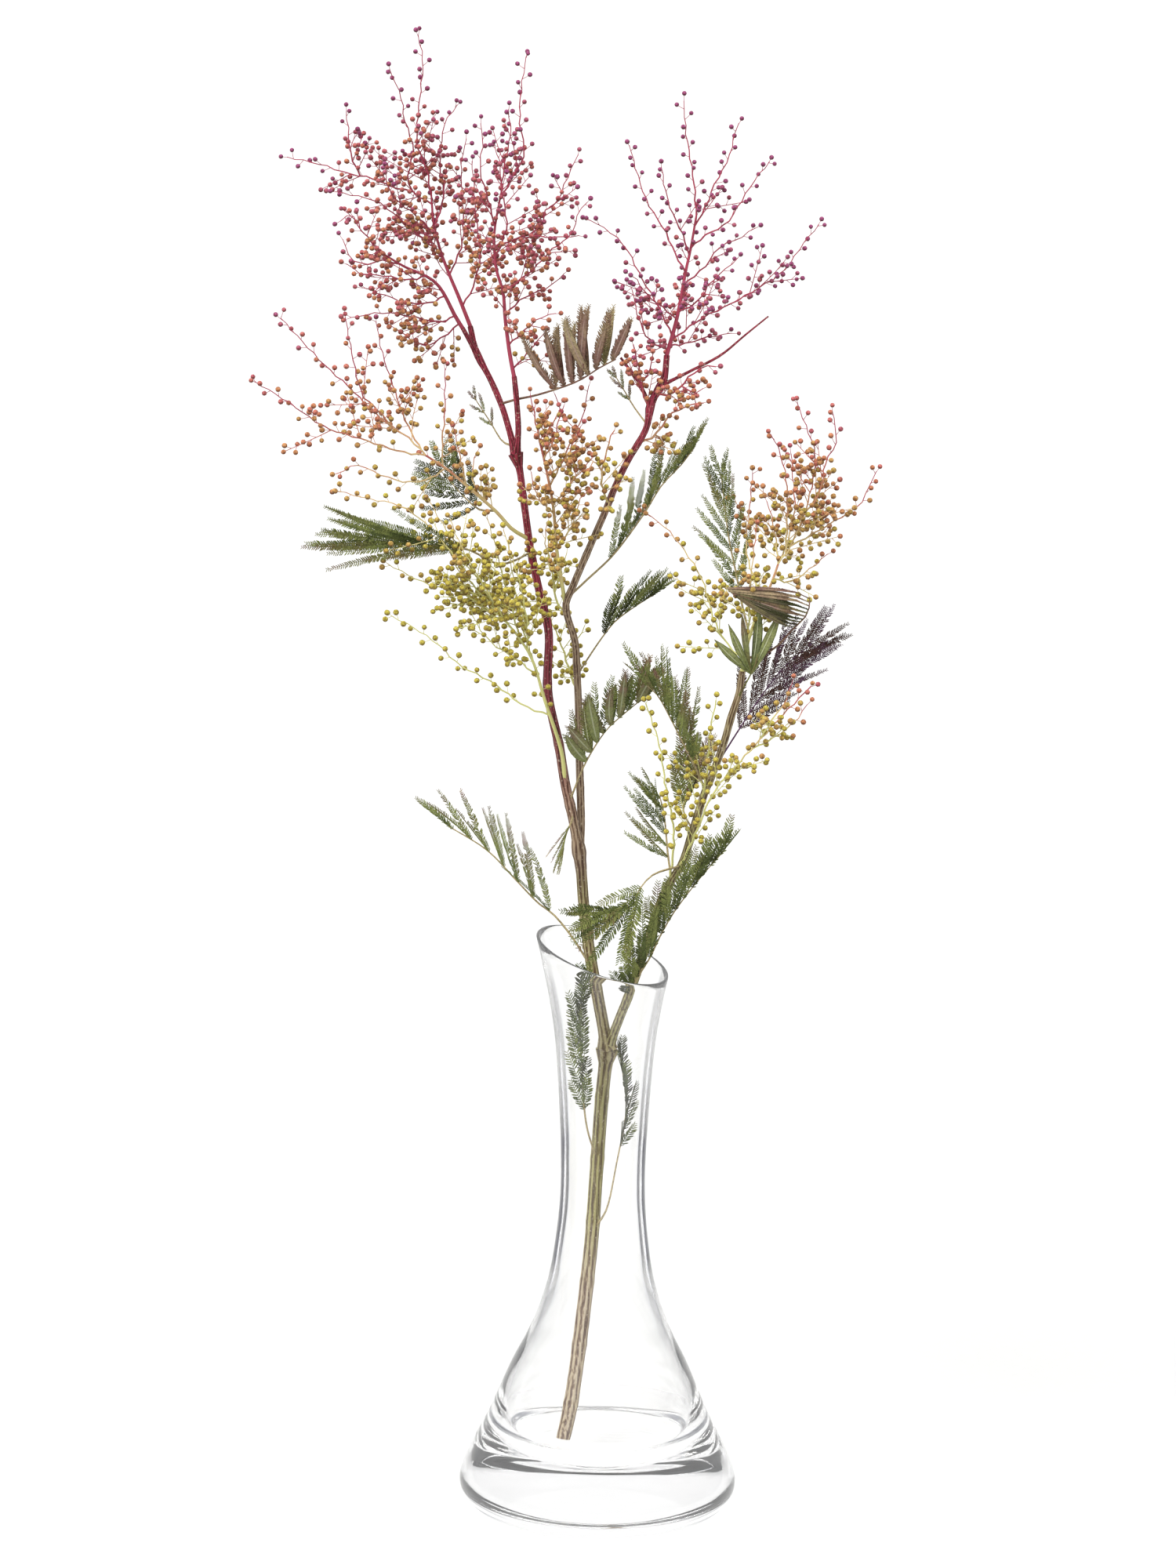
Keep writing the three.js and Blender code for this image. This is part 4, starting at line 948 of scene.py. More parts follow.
def young_bark(settings):
    """Ridged young bark of a cut stem: pale ribs with painted shade in the grooves between them,
    and dark streaks along it, olive and tan where it is oldest, flushed crimson where it is
    youngest, with pale specks."""
    material, tree, place = new_material("young_wattle_bark")
    flush = add(tree, "ShaderNodeAttribute", {"attribute_name": "flush"})
    ridge = add(tree, "ShaderNodeAttribute", {"attribute_name": "ridge"})
    # Streaks 0.9 mm wide and 18 mm long, and specks as wide.
    along = add(tree, "ShaderNodeMapping", None, {"Vector": place, "Scale": (1.0, 1.0, 0.05)})
    streaks = add(
        tree,
        "ShaderNodeTexNoise",
        None,
        {"Vector": along.outputs["Vector"], "Scale": 1 / (0.9 * MM), "Detail": 3.0},
    )
    specks = add(
        tree,
        "ShaderNodeTexNoise",
        None,
        {"Vector": place, "Scale": 1 / (0.9 * MM), "Detail": 2.0},
    )
    colour = add(tree, "ShaderNodeValToRGB", None, {"Fac": flush.outputs["Fac"]})
    set_stops(
        colour,
        [
            (0.14, settings.cut_end),
            (0.19, settings.olive),
            (0.27, settings.olive),
            (0.36, settings.brown),
            (0.45, settings.brown),
            (0.68, settings.maroon),
            (1.0, settings.crimson),
        ],
    )
    # Painted shade in the grooves between the ridges, laid on the streaks of the bark.
    streaks_and_groove_shade = add(
        tree,
        "ShaderNodeMath",
        {"operation": "MULTIPLY_ADD"},
        {0: ridge.outputs["Fac"], 1: 0.16, 2: streaks.outputs["Fac"]},
    )
    dark = [(0.32, linear("#65403c")), (0.46, linear("#b0a196")), (0.58, WHITE)]
    streaked_and_groove_shaded = shaded(tree, colour.outputs["Color"], 0.9, streaks_and_groove_shade.outputs[0], dark)
    pale = [(0.6, 0.0), (0.75, 0.5)]
    specked = covered(tree, streaked_and_groove_shaded, settings.specks, specks.outputs["Fac"], pale)
    bump = add(
        tree,
        "ShaderNodeBump",
        None,
        {"Strength": 0.6, "Distance": 0.3 * MM, "Height": streaks.outputs["Fac"]},
    )
    finish_material(
        tree,
        {
            "Base Color": specked,
            "Roughness": 0.72,
            "Specular IOR Level": 0.35,
            "Normal": bump.outputs["Normal"],
        },
    )
    return material


def stem_growth():
    """Round tubes along the limbs, with shallow ridges that run along them."""
    tree, inputs = new_growth(
        "Stem growth",
        {"Ridges": "Int", "Ridge Depth": "Float", "Bark": "Material"},
    )
    limbs = add(tree, "GeometryNodeMeshToCurve", None, {"Mesh": inputs["Geometry"]})
    circle = add(tree, "GeometryNodeCurvePrimitiveCircle", None, {"Resolution": 48, "Radius": 1.0})
    # The profile's radius waves with its angle, once for each ridge, and keeps its height.
    place = add(tree, "GeometryNodeInputPosition")
    parts = add(tree, "ShaderNodeSeparateXYZ", None, {0: place.outputs[0]})
    angle = add(
        tree,
        "ShaderNodeMath",
        {"operation": "ARCTAN2"},
        {0: parts.outputs[1], 1: parts.outputs[0]},
    )
    waves = add(
        tree,
        "ShaderNodeMath",
        {"operation": "MULTIPLY"},
        {0: angle.outputs[0], 1: inputs["Ridges"]},
    )
    height = add(tree, "ShaderNodeMath", {"operation": "COSINE"}, {0: waves.outputs[0]})
    swell = add(
        tree,
        "ShaderNodeMath",
        {"operation": "MULTIPLY_ADD"},
        {0: height.outputs[0], 1: inputs["Ridge Depth"], 2: 1.0},
    )
    moved = add(
        tree,
        "ShaderNodeVectorMath",
        {"operation": "SCALE"},
        {0: place.outputs[0], "Scale": swell.outputs[0]},
    )
    kept = add(
        tree,
        "GeometryNodeStoreNamedAttribute",
        {"data_type": "FLOAT", "domain": "POINT"},
        {"Geometry": circle.outputs["Curve"], "Name": "ridge", "Value": height.outputs[0]},
    )
    profile = add(
        tree,
        "GeometryNodeSetPosition",
        None,
        {"Geometry": kept.outputs[0], "Position": moved.outputs[0]},
    )
    tubes = tubes_along(tree, limbs.outputs[0], profile.outputs[0])
    done = finished(tree, tubes.outputs[0], inputs["Bark"])
    add(tree, "NodeGroupOutput", None, {0: done.outputs[0]})
    return tree


def limb_axes():
    limbs = []
    for (base, tip), route in LIMBS:
        limbs.append(rooted_axis(route, limbs, base, tip))
    return limbs


def stem_flush(index, place):
    """0 at the cut end, olive and brown above it, 1 where the bark is crimson."""
    z = place[2]
    if z < 200:  # below the fork
        return mix(0.03, 0.3, max(0.0, (z - 24) / 176))
    if index == BACK_STEM:  # stays brown for longer
        return min(1.0, 0.42 + max(0.0, z - 425) / 90)
    if index == RIGHT_LIMB:  # stays olive
        return 0.24 + 0.1 * (z - 200) / 170
    return min(1.0, 0.3 + 0.55 * max(0.0, z - 270) / 100)


def stem_strands():
    strands = Strands(thickness=1.0, flush=0.0)
    limbs = limb_axes()
    forks = [limb.knots[0] for limb in limbs[1:]]
    for index, limb in enumerate(limbs):
        places, thickness = [], []
        for share in np.linspace(0, 1, max(6, int(limb.length / 3)) + 1):
            place = limb.point_at(share)
            if place[2] <= VASE["floor"] + 0.5:
                continue
            radius = limb.radius_at(share)
            # Every fork, and every node between them, is a little swollen.
            for fork in forks:
                radius += 0.35 * limb.base * math.exp(-((np.linalg.norm(place - fork) / 4) ** 2))
            wave = math.cos(2 * math.pi * share * limb.length / NODE_GAP)
            radius += 0.07 * limb.base * max(0.0, wave) ** 9
            places.append(place)
            thickness.append(radius * MM)
        flush = [stem_flush(index, place) for place in places]
        strands.line(places, thickness=thickness, flush=flush)
    return strands


# ---- Sprays of buds ----


def mealy_buds(settings):
    """Closed flower heads: matt and mealy, a ball of some thirty packed florets, so each shows
    a pebbled skin with painted shade between the florets. They ripen from yellow green to plum,
    and each has painted shade on its underside."""
    material, tree, place = new_material("mimosa_bud_mealy")
    ripeness = add(tree, "ShaderNodeAttribute", {"attribute_name": "ripeness"})
    # Florets are 0.6 mm across, and are drawn at 0.75 mm so that they show.
    florets = add(
        tree,
        "ShaderNodeTexVoronoi",
        {"feature": "F1"},
        {"Vector": place, "Scale": 1 / (0.75 * MM)},
    )
    colour = add(tree, "ShaderNodeValToRGB", None, {"Fac": ripeness.outputs["Fac"]})
    set_stops(
        colour,
        [
            (0.05, settings.young),
            (0.28, settings.gold),
            (0.48, settings.rust),
            (0.68, settings.rose),
            (0.95, settings.plum),
        ],
    )
    # Painted shade: each bud is darker where its surface faces down.
    normal = add(tree, "ShaderNodeNewGeometry")
    parts = add(tree, "ShaderNodeSeparateXYZ", None, {0: normal.outputs["Normal"]})
    facing_up = add(
        tree,
        "ShaderNodeMath",
        {"operation": "MULTIPLY_ADD"},
        {0: parts.outputs[2], 1: 0.5, 2: 0.5},
    )
    under = [(0.15, linear("#a3907f")), (0.65, WHITE)]
    under_shaded = shaded(tree, colour.outputs["Color"], 1.0, facing_up.outputs[0], under)
    # Painted shade in the gaps between the florets.
    painted_seam_shade = [(0.25, WHITE), (0.75, linear("#a5968c"))]
    seam_shaded = shaded(tree, under_shaded, 0.8, florets.outputs["Distance"], painted_seam_shade)
    bump = add(
        tree,
        "ShaderNodeBump",
        {"invert": True},
        {"Strength": 0.8, "Distance": 0.25 * MM, "Height": florets.outputs["Distance"]},
    )
    finish_material(
        tree,
        {
            "Base Color": seam_shaded,
            "Roughness": 0.8,
            "Specular IOR Level": 0.25,
            "Sheen Weight": 0.15,
            "Normal": bump.outputs["Normal"],
        },
    )
    return material


def green_twig(settings):
    """Thin living twigs and stalks: smooth, with a dull shine, yellow green in the shade of the
    plant and flushed red towards the crown."""
    material, tree, place = new_material("mimosa_twig_green")
    ripeness = add(tree, "ShaderNodeAttribute", {"attribute_name": "ripeness"})
    # Patches 3 mm across.
    patches = add(
        tree,
        "ShaderNodeTexNoise",
        None,
        {"Vector": place, "Scale": 1 / (3 * MM), "Detail": 2.0},
    )
    shift = add(
        tree,
        "ShaderNodeMath",
        {"operation": "MULTIPLY_ADD"},
        {0: patches.outputs["Fac"], 1: 0.3, 2: -0.15},
    )
    ripe = add(
        tree,
        "ShaderNodeMath",
        {"operation": "ADD"},
        {0: shift.outputs[0], 1: ripeness.outputs["Fac"]},
    )
    colour = add(tree, "ShaderNodeValToRGB", None, {"Fac": ripe.outputs[0]})
    set_stops(
        colour,
        [
            (0.0, settings.twig_young),
            (0.2, settings.twig_gold),
            (0.36, settings.twig_rust),
            (0.5, settings.twig_red),
        ],
    )
    finish_material(
        tree,
        {"Base Color": colour.outputs["Color"], "Roughness": 0.6, "Specular IOR Level": 0.35},
    )
    return material


def spray_growth():
    """Tubes along the twigs and stalks, and a round bud on every loose point."""
    tree, inputs = new_growth(
        "Spray growth",
        {"Bud Radius": "Float", "Twig": "Material", "Bud": "Material"},
    )
    split = split_by(tree, inputs["Geometry"], "is_bud", 0.5)
    lines = add(tree, "GeometryNodeMeshToCurve", None, {"Mesh": split.outputs["Inverted"]})
    circle = add(tree, "GeometryNodeCurvePrimitiveCircle", None, {"Resolution": 5, "Radius": 1.0})
    tubes = tubes_along(tree, lines.outputs[0], circle.outputs["Curve"])
    ball = add(
        tree,
        "GeometryNodeMeshUVSphere",
        None,
        {"Segments": 8, "Rings": 5, "Radius": inputs["Bud Radius"]},
    )
    outward = add(
        tree, "GeometryNodeInputNamedAttribute", {"data_type": "FLOAT_VECTOR"}, {"Name": "outward"}
    )
    facing = add(
        tree,
        "FunctionNodeAlignRotationToVector",
        {"axis": "Z"},
        {"Vector": outward.outputs[0]},
    )
    size = add(tree, "GeometryNodeInputNamedAttribute", {"data_type": "FLOAT"}, {"Name": "size"})
    buds = add(
        tree,
        "GeometryNodeInstanceOnPoints",
        None,
        {
            "Points": split.outputs["Selection"],
            "Instance": ball.outputs["Mesh"],
            "Rotation": facing.outputs[0],
            "Scale": size.outputs[0],
        },
    )
    ends = [
        finished(tree, tubes.outputs[0], inputs["Twig"]),
        finished(tree, buds.outputs[0], inputs["Bud"]),
    ]
    joined = add(tree, "GeometryNodeJoinGeometry")
    for end in ends:
        tree.links.new(end.outputs[0], joined.inputs[0])
    add(tree, "NodeGroupOutput", None, {0: joined.outputs[0]})
    return tree


def ripeness_at(place, share, spray):
    """0 for a young yellow-green bud, 1 for a plum one. It grows from 0 at 402 mm up to 1 at
    640 mm, and buds at the outside of the sprig and at a raceme's tip are ahead."""
    x, _, z = place
    outward = max(0.0, abs(x + 20) - 62)
    # The tips are ahead only in the crown, from 440 mm up.
    tip = 0.14 * share**2 * min(1.0, max(0.0, (z - 440) / 60))
    ahead, tips_ahead = BUDDING.get(spray, PLAIN)[:2]
    return 0.0042 * (z - 402) + 0.002 * outward + tip + ahead + tips_ahead * share**2


def twig_colour_at(place, share, spray):
    """Like ripeness_at, for a twig. The crown's twigs are crimson, as the limb they grow from."""
    return ripeness_at(place, share, spray) + (0.3 if "crown" in spray else 0.0)


def spray_axes(routes, limbs):
    """The axes of a spray's twig, thinner on a spray of one or two racemes, and its racemes."""
    base, tip = (0.56, 0.26) if len(routes) < 4 else (0.95, 0.46)
    axes = [rooted_axis(routes[0], limbs, base, tip)]
    for route in routes[1:]:
        axes.append(rooted_axis(route, axes, 0.42, 0.18))
    return axes


def set_bud(strands, place, outward, ripe, family, member):
    """A bud. Ripe buds, at the crown, are smaller than the green ones."""
    strands.point(
        place,
        is_bud=1.0,
        outward=outward,
        size=(1 - 0.17 * min(1.0, max(0.0, ripe))) * (0.9 + 0.18 * chance(family, member + 500)),
        ripeness=ripe + 0.36 * (chance(family, member + 600) - 0.5),
    )


def grow_stalk(strands, root, outward, reach, ripe, family, member):
    """One bud on a thin stalk that sags a little."""
    middle = root + outward * reach * 0.5 + np.array((0, 0, -0.03 * reach))
    end = root + outward * reach
    strands.line([root, middle, end], thickness=[0.15 * MM, 0.11 * MM, 0.13 * MM], ripeness=ripe)
    set_bud(strands, end, outward, ripe, family, member)


def grow_raceme(strands, settings, spray, axis, family, is_twig):
    """A raceme: its axis, the buds along it, and side shoots with buds of their own. The first
    bud of a twig is nearly halfway up it."""
    first_bud, first_shoot = (0.45, 0.38) if is_twig else (0.18, 0.1)
    pitch, shoot_gap = 3.3, 11
    steps = max(3, int(axis.length / pitch))
    shares = np.linspace(0, 1, steps + 1)
    places = []
    for i, share in enumerate(shares):
        place = axis.point_at(share)
        # A raceme bends a little at each bud.
        if 0 < i < steps and not is_twig:
            place = place + leaving(axis.tangent_at(share), i * GOLDEN_ANGLE, 0) * 0.35
        places.append(place)
    strands.line(
        places,
        thickness=[axis.radius_at(share) * MM for share in shares],
        ripeness=[twig_colour_at(place, share, spray) for place, share in zip(places, shares)],
    )
    count = int(axis.length * (1 - first_bud) / pitch)
    # Buds stand all round the raceme, and the last one ends it.
    for k in range(count + 1):
        stretch = mix(0.86, 1.1, k / max(1, count))
        share = min(1.0, first_bud + (k * pitch / axis.length) * stretch)
        is_last = k == count
        root = axis.point_at(0.985 if is_last else share)
        tangent = axis.tangent_at(1 if is_last else share)
        lean = 80 * DEGREE if is_last else (20 + 30 * chance(family, k)) * DEGREE
        reach = mix(4.4, 3.2, share) * (0.75 + 0.5 * chance(family, k + 100))
        outward = leaving(tangent, k * GOLDEN_ANGLE + family, lean)
        grow_stalk(strands, root, outward, reach, ripeness_at(root, share, spray), family, k)
    # Side shoots stand close together where the raceme is oldest, and its tip has none. Within
    # 30 mm of the spray's highest they grow fewer, and past it few are left.
    fullness, lowest, highest = BUDDING.get(spray, PLAIN)[2:]
    for k in np.arange(0, axis.length * 0.72 / shoot_gap, 0.4):
        share = first_shoot + k * shoot_gap / axis.length
        root, tangent = axis.point_at(share), axis.tangent_at(share)
        below = min(1.0, max(0.12, (highest - root[2]) / 30))
        likely = fullness * below * (1.3 - 1.75 * share)
        if root[2] < lowest or chance(family, k + 400) > likely:
            continue
        reach = 0.34 * (1 - share) * axis.length + 9 * chance(family, k + 200)
        reach = min(23.0, max(6.5, reach))
        lean = (28 + 28 * chance(family, k + 300)) * DEGREE
        outward = leaving(tangent, k * GOLDEN_ANGLE + 2.2 + family, lean)
        grow_shoot(strands, settings, spray, root, outward, reach, share, family, k + 700)


def grow_shoot(strands, settings, spray, root, outward, reach, share, family, member):
    """A short side shoot with buds along its outer part and one at its tip."""
    end = root + outward * reach
    bow = square_to(outward)[0] * 0.06 * reach
    axis = Axis([root, root + outward * reach * 0.5 + bow, end], 0.22, 0.14)
    ripe, tip_ripe = ripeness_at(root, share, spray), ripeness_at(end, mix(share, 1, 0.5), spray)
    strands.line(
        [axis.point_at(i / 4) for i in range(5)],
        thickness=[axis.radius_at(i / 4) * MM for i in range(5)],
        ripeness=twig_colour_at(root, share, spray),
    )
    count = max(2, round(0.8 * reach / settings.pitch))
    for i in range(count):
        along = mix(0.22, 0.94, i / count)
        lean = (24 + 26 * chance(family, member + i)) * DEGREE
        side = leaving(axis.tangent_at(along), i * GOLDEN_ANGLE + member, lean)
        length = 3.2 * (0.7 + 0.6 * chance(family, member + i + 40))
        riper = mix(ripe, tip_ripe, along)
        grow_stalk(strands, axis.point_at(along), side, length, riper, family, member + 9 * i)
    set_bud(strands, end, outward, tip_ripe, family, member + 50)


def spray_strands(name, index, limbs, settings):
    strands = Strands(thickness=0.0, ripeness=0.0, is_bud=0.0, size=1.0, outward=UP)
    axes = spray_axes(SPRAYS[name], limbs)
    for i, axis in enumerate(axes):
        is_twig = i == 0 and len(axes) > 3
        grow_raceme(strands, settings, name, axis, (index + 1) * 20 + i, is_twig)
    return strands


# ---- Fronds ----


def dry_leaf(name, stops, midrib_colour):
    """A bipinnate leaf that has begun to dry: matt and thin, with painted shade in a fine grain
    that stands for the folds of its leaflets, and a pale midrib where its leaflets have closed
    into a blade."""
    material, tree, place = new_material(name)
    tone = add(tree, "ShaderNodeAttribute", {"attribute_name": "tone"})
    midrib = add(tree, "ShaderNodeAttribute", {"attribute_name": "midrib"})
    # Patches of drying 6 mm across, and a grain drawn coarser than life, which bumps the leaflets
    # like veins and darkens them in fine patches as painted shade.
    patches = add(
        tree,
        "ShaderNodeTexNoise",
        None,
        {"Vector": place, "Scale": 1 / (6 * MM), "Detail": 3.0},
    )
    grain = add(
        tree,
        "ShaderNodeTexNoise",
        None,
        {"Vector": place, "Scale": 1 / (0.8 * MM), "Detail": 2.0},
    )
    shifted = add(
        tree,
        "ShaderNodeMath",
        {"operation": "MULTIPLY_ADD"},
        {0: patches.outputs["Fac"], 1: 0.7, 2: -0.35},
    )
    where = add(
        tree,
        "ShaderNodeMath",
        {"operation": "ADD"},
        {0: shifted.outputs[0], 1: tone.outputs["Fac"]},
    )
    colour = add(tree, "ShaderNodeValToRGB", None, {"Fac": where.outputs[0]})
    set_stops(colour, stops)
    # Painted shade: the grain darkens the leaflets in fine patches.
    shade = [(0.3, linear("#7d7d7d")), (0.6, WHITE)]
    fold_shaded = shaded(tree, colour.outputs["Color"], 0.7, grain.outputs["Fac"], shade)
    pale = [(0.1, 0.0), (0.3, 0.1), (0.87, 0.15), (0.96, 0.8)]
    bump = add(
        tree,
        "ShaderNodeBump",
        None,
        {"Strength": 0.4, "Distance": 0.15 * MM, "Height": grain.outputs["Fac"]},
    )
    finish_material(
        tree,
        {
            "Base Color": covered(tree, fold_shaded, midrib_colour, midrib.outputs["Fac"], pale),
            "Roughness": 0.7,
            "Specular IOR Level": 0.12,
            "Normal": bump.outputs["Normal"],
        },
    )
    return material


def blade_profile(tree):
    """A blade's section: a thin roof, whose ridge is the pale midrib."""
    ring = add(tree, "GeometryNodeCurvePrimitiveCircle", None, {"Resolution": 8, "Radius": 1.0})
    place = add(tree, "GeometryNodeInputPosition")
    parts = add(tree, "ShaderNodeSeparateXYZ", None, {0: place.outputs[0]})
    from_middle = add(tree, "ShaderNodeMath", {"operation": "ABSOLUTE"}, {0: parts.outputs[1]})
    ridge = add(
        tree,
        "ShaderNodeMath",
        {"operation": "MULTIPLY_ADD"},
        {0: from_middle.outputs[0], 1: -0.7, 2: 1.0},
    )
    marked = add(
        tree,
        "GeometryNodeStoreNamedAttribute",
        {"data_type": "FLOAT", "domain": "POINT"},
        {"Geometry": ring.outputs["Curve"], "Name": "midrib", "Value": ridge.outputs[0]},
    )
    thin = add(tree, "ShaderNodeMath", {"operation": "MULTIPLY"}, {0: parts.outputs[0], 1: 0.1})
    roof = add(
        tree,
        "ShaderNodeMath",
        {"operation": "MULTIPLY_ADD"},
        {0: from_middle.outputs[0], 1: -0.4, 2: thin.outputs[0]},
    )
    section = add(
        tree, "ShaderNodeCombineXYZ", None, {0: roof.outputs[0], 1: parts.outputs[1], 2: 0.0}
    )
    return add(
        tree,
        "GeometryNodeSetPosition",
        None,
        {"Geometry": marked.outputs[0], "Position": section.outputs[0]},
    )


def frond_growth():
    """Thin tubes along the rachis and the ribs, a row of flat leaflets on both sides of each
    rib, swept towards its tip, and a folded blade where the leaflets have closed."""
    tree, inputs = new_growth(
        "Frond growth",
        {
            "Leaflet Pitch": "Float",
            "Leaflet Length": "Float",
            "Leaflet Width": "Float",
            "Leaflet Thickness": "Float",
            "Leaf": "Material",
        },
    )
    lines = add(tree, "GeometryNodeMeshToCurve", None, {"Mesh": inputs["Geometry"]})
    circle = add(tree, "GeometryNodeCurvePrimitiveCircle", None, {"Resolution": 4, "Radius": 1.0})
    tubes = tubes_along(tree, lines.outputs[0], circle.outputs["Curve"])
    ribs = split_by(tree, inputs["Geometry"], "is_rib", 0.5)
    rib_lines = add(tree, "GeometryNodeMeshToCurve", None, {"Mesh": ribs.outputs["Selection"]})
    stations = add(
        tree,
        "GeometryNodeCurveToPoints",
        {"mode": "LENGTH"},
        {"Curve": rib_lines.outputs[0], "Length": inputs["Leaflet Pitch"]},
    )
    upper = add(
        tree, "GeometryNodeInputNamedAttribute", {"data_type": "FLOAT_VECTOR"}, {"Name": "upper"}
    )
    across = add(
        tree,
        "ShaderNodeVectorMath",
        {"operation": "CROSS_PRODUCT"},
        {0: upper.outputs[0], 1: stations.outputs["Tangent"]},
    )
    folds = split_by(tree, inputs["Geometry"], "blade", 0.0)
    fold_lines = add(tree, "GeometryNodeMeshToCurve", None, {"Mesh": folds.outputs["Selection"]})
    faced = add(
        tree,
        "GeometryNodeSetCurveNormal",
        {"mode": "FREE"},
        {"Curve": fold_lines.outputs[0], "Normal": upper.outputs[0]},
    )
    blades = tubes_along(tree, faced.outputs[0], blade_profile(tree).outputs[0], "blade")
    # A leaflet is a flat ball of one unit, moved so that it starts at its own root.
    ball = add(tree, "GeometryNodeMeshUVSphere", None, {"Segments": 4, "Rings": 3, "Radius": 0.5})
    leaflet = add(
        tree,
        "GeometryNodeTransform",
        None,
        {
            "Geometry": ball.outputs["Mesh"],
            "Translation": (0.5, 0.0, 0.0),
            "Rotation": (0.0, math.pi / 2, 0.0),
        },
    )
    size = add(
        tree,
        "ShaderNodeCombineXYZ",
        None,
        {
            0: inputs["Leaflet Length"],
            1: inputs["Leaflet Width"],
            2: inputs["Leaflet Thickness"],
        },
    )
    fullness = add(
        tree, "GeometryNodeInputNamedAttribute", {"data_type": "FLOAT"}, {"Name": "fullness"}
    )
    joined = add(tree, "GeometryNodeJoinGeometry")
    for seed, side in ((3, 1.0), (8, -1.0)):
        sideways = add(
            tree,
            "ShaderNodeVectorMath",
            {"operation": "SCALE"},
            {0: across.outputs[0], "Scale": side},
        )
        sweep = add(
            tree,
            "FunctionNodeRandomValue",
            {"data_type": "FLOAT"},
            {2: 0.75, 3: 1.2, "Seed": seed},
        )
        forward = add(
            tree,
            "ShaderNodeVectorMath",
            {"operation": "MULTIPLY_ADD"},
            {0: stations.outputs["Tangent"], 1: sweep.outputs[1], 2: sideways.outputs[0]},
        )
        lifted = add(
            tree,
            "ShaderNodeVectorMath",
            {"operation": "MULTIPLY_ADD"},
            {0: upper.outputs[0], 1: (0.35, 0.35, 0.35), 2: forward.outputs[0]},
        )
        facing = add(
            tree,
            "FunctionNodeAxesToRotation",
            {"primary_axis": "X", "secondary_axis": "Z"},
            {0: lifted.outputs[0], 1: upper.outputs[0]},
        )
        share = add(
            tree,
            "FunctionNodeRandomValue",
            {"data_type": "FLOAT"},
            {2: 0.85, 3: 1.15, "Seed": seed + 1},
        )
        # One leaflet in sixteen has dropped off.
        stays = add(
            tree,
            "FunctionNodeRandomValue",
            {"data_type": "BOOLEAN"},
            {"Probability": 0.94, "Seed": seed + 2},
        )
        fuller = add(
            tree,
            "ShaderNodeMath",
            {"operation": "MULTIPLY"},
            {0: share.outputs[1], 1: fullness.outputs[0]},
        )
        scaled = add(
            tree,
            "ShaderNodeVectorMath",
            {"operation": "SCALE"},
            {0: size.outputs[0], "Scale": fuller.outputs[0]},
        )
        row = add(
            tree,
            "GeometryNodeInstanceOnPoints",
            None,
            {
                "Points": stations.outputs["Points"],
                "Selection": stays.outputs[3],
                "Instance": leaflet.outputs[0],
                "Rotation": facing.outputs[0],
                "Scale": scaled.outputs[0],
            },
        )
        tree.links.new(row.outputs[0], joined.inputs[0])
    smooth = add(
        tree, "GeometryNodeSetShadeSmooth", None, {0: tubes.outputs[0], "Shade Smooth": True}
    )
    tree.links.new(smooth.outputs[0], joined.inputs[0])
    tree.links.new(blades.outputs[0], joined.inputs[0])
    done = finished(tree, joined.outputs[0], inputs["Leaf"], smooth=False)
    add(tree, "NodeGroupOutput", None, {0: done.outputs[0]})
    return tree


def clear_of_glass(place, radius):
    """Whether a ball of a radius, with half a millimetre to spare, doesn't touch the vase."""
    x, y, z = place
    reach = radius + 0.5
    if z > rim_height_at(x, y) + reach:
        return True
    out = math.hypot(x, y)
    inside, outside = (
        np.interp(z, [height for _, height in VASE[wall]], [r for r, _ in VASE[wall]])
        for wall in ("inside", "outside")
    )
    return out < inside - reach or out > outside + reach


def pinna_route(rachis, face, at, rise, side, form, twist, shorten, own):
    """The rib of one pinna, as RIB places, and where its upper side looks."""
    full, spread, fold = form
    tangent, root = rachis.tangent_at(at), rachis.point_at(at)
    face = unit(face - tangent * face.dot(tangent))
    across = np.cross(face, tangent)
    fold = (fold + twist + 24 * (chance(own, 4) - 0.5)) * DEGREE
    outward = across * side * math.cos(fold) + face * math.sin(fold)
    spread = spread * (1.1 - 0.5 * rise) * (0.75 + 0.5 * chance(own, 5)) * DEGREE
    direction = outward * math.sin(spread) + tangent * math.cos(spread)
    fullness = 0.62 + 0.38 * math.sin(math.pi * min(1, 0.25 + 0.75 * rise))
    length = full * fullness * shorten * (0.8 + 0.3 * chance(own, 6))
    upper = face * math.cos(fold) - across * side * math.sin(fold)
    # Each pinna bows towards the tip, and curls a little its own way as it dries.
    bend = tangent * 0.12 * length - direction * 0.04 * length
    bend = bend + upper * 0.22 * length * (chance(own, 7) - 0.5)
    bend = bend + outward * 0.22 * length * (chance(own, 8) - 0.5)
    return [root + direction * length * s + bend * s * s for s in RIB], upper


def set_pinna(strands, places, upper, own, habit, half_width=None, lens=LENS):
    """One pinna: its rib, with leaflets, and a blade where they have closed."""
    scale, closed, broad, browned, _ = habit
    tone = browned + 0.45 * chance(own, 9)
    blade = 0.0
    if half_width or chance(own, 12) < closed:
        width = (half_width or broad * (0.8 + 0.35 * chance(own, 13))) * MM
        blade = [width * each for each in lens]
        tone += 0.15
    strands.line(
        places,
        thickness=[mix(0.22, 0.11, i / 6) * MM for i in range(7)],
        is_rib=1.0,
        upper=upper,
        blade=blade,
        tone=[tone + 0.25 * (i / 6) ** 2 for i in range(7)],
        fullness=[scale * each for each in LEAFLETS],
    )


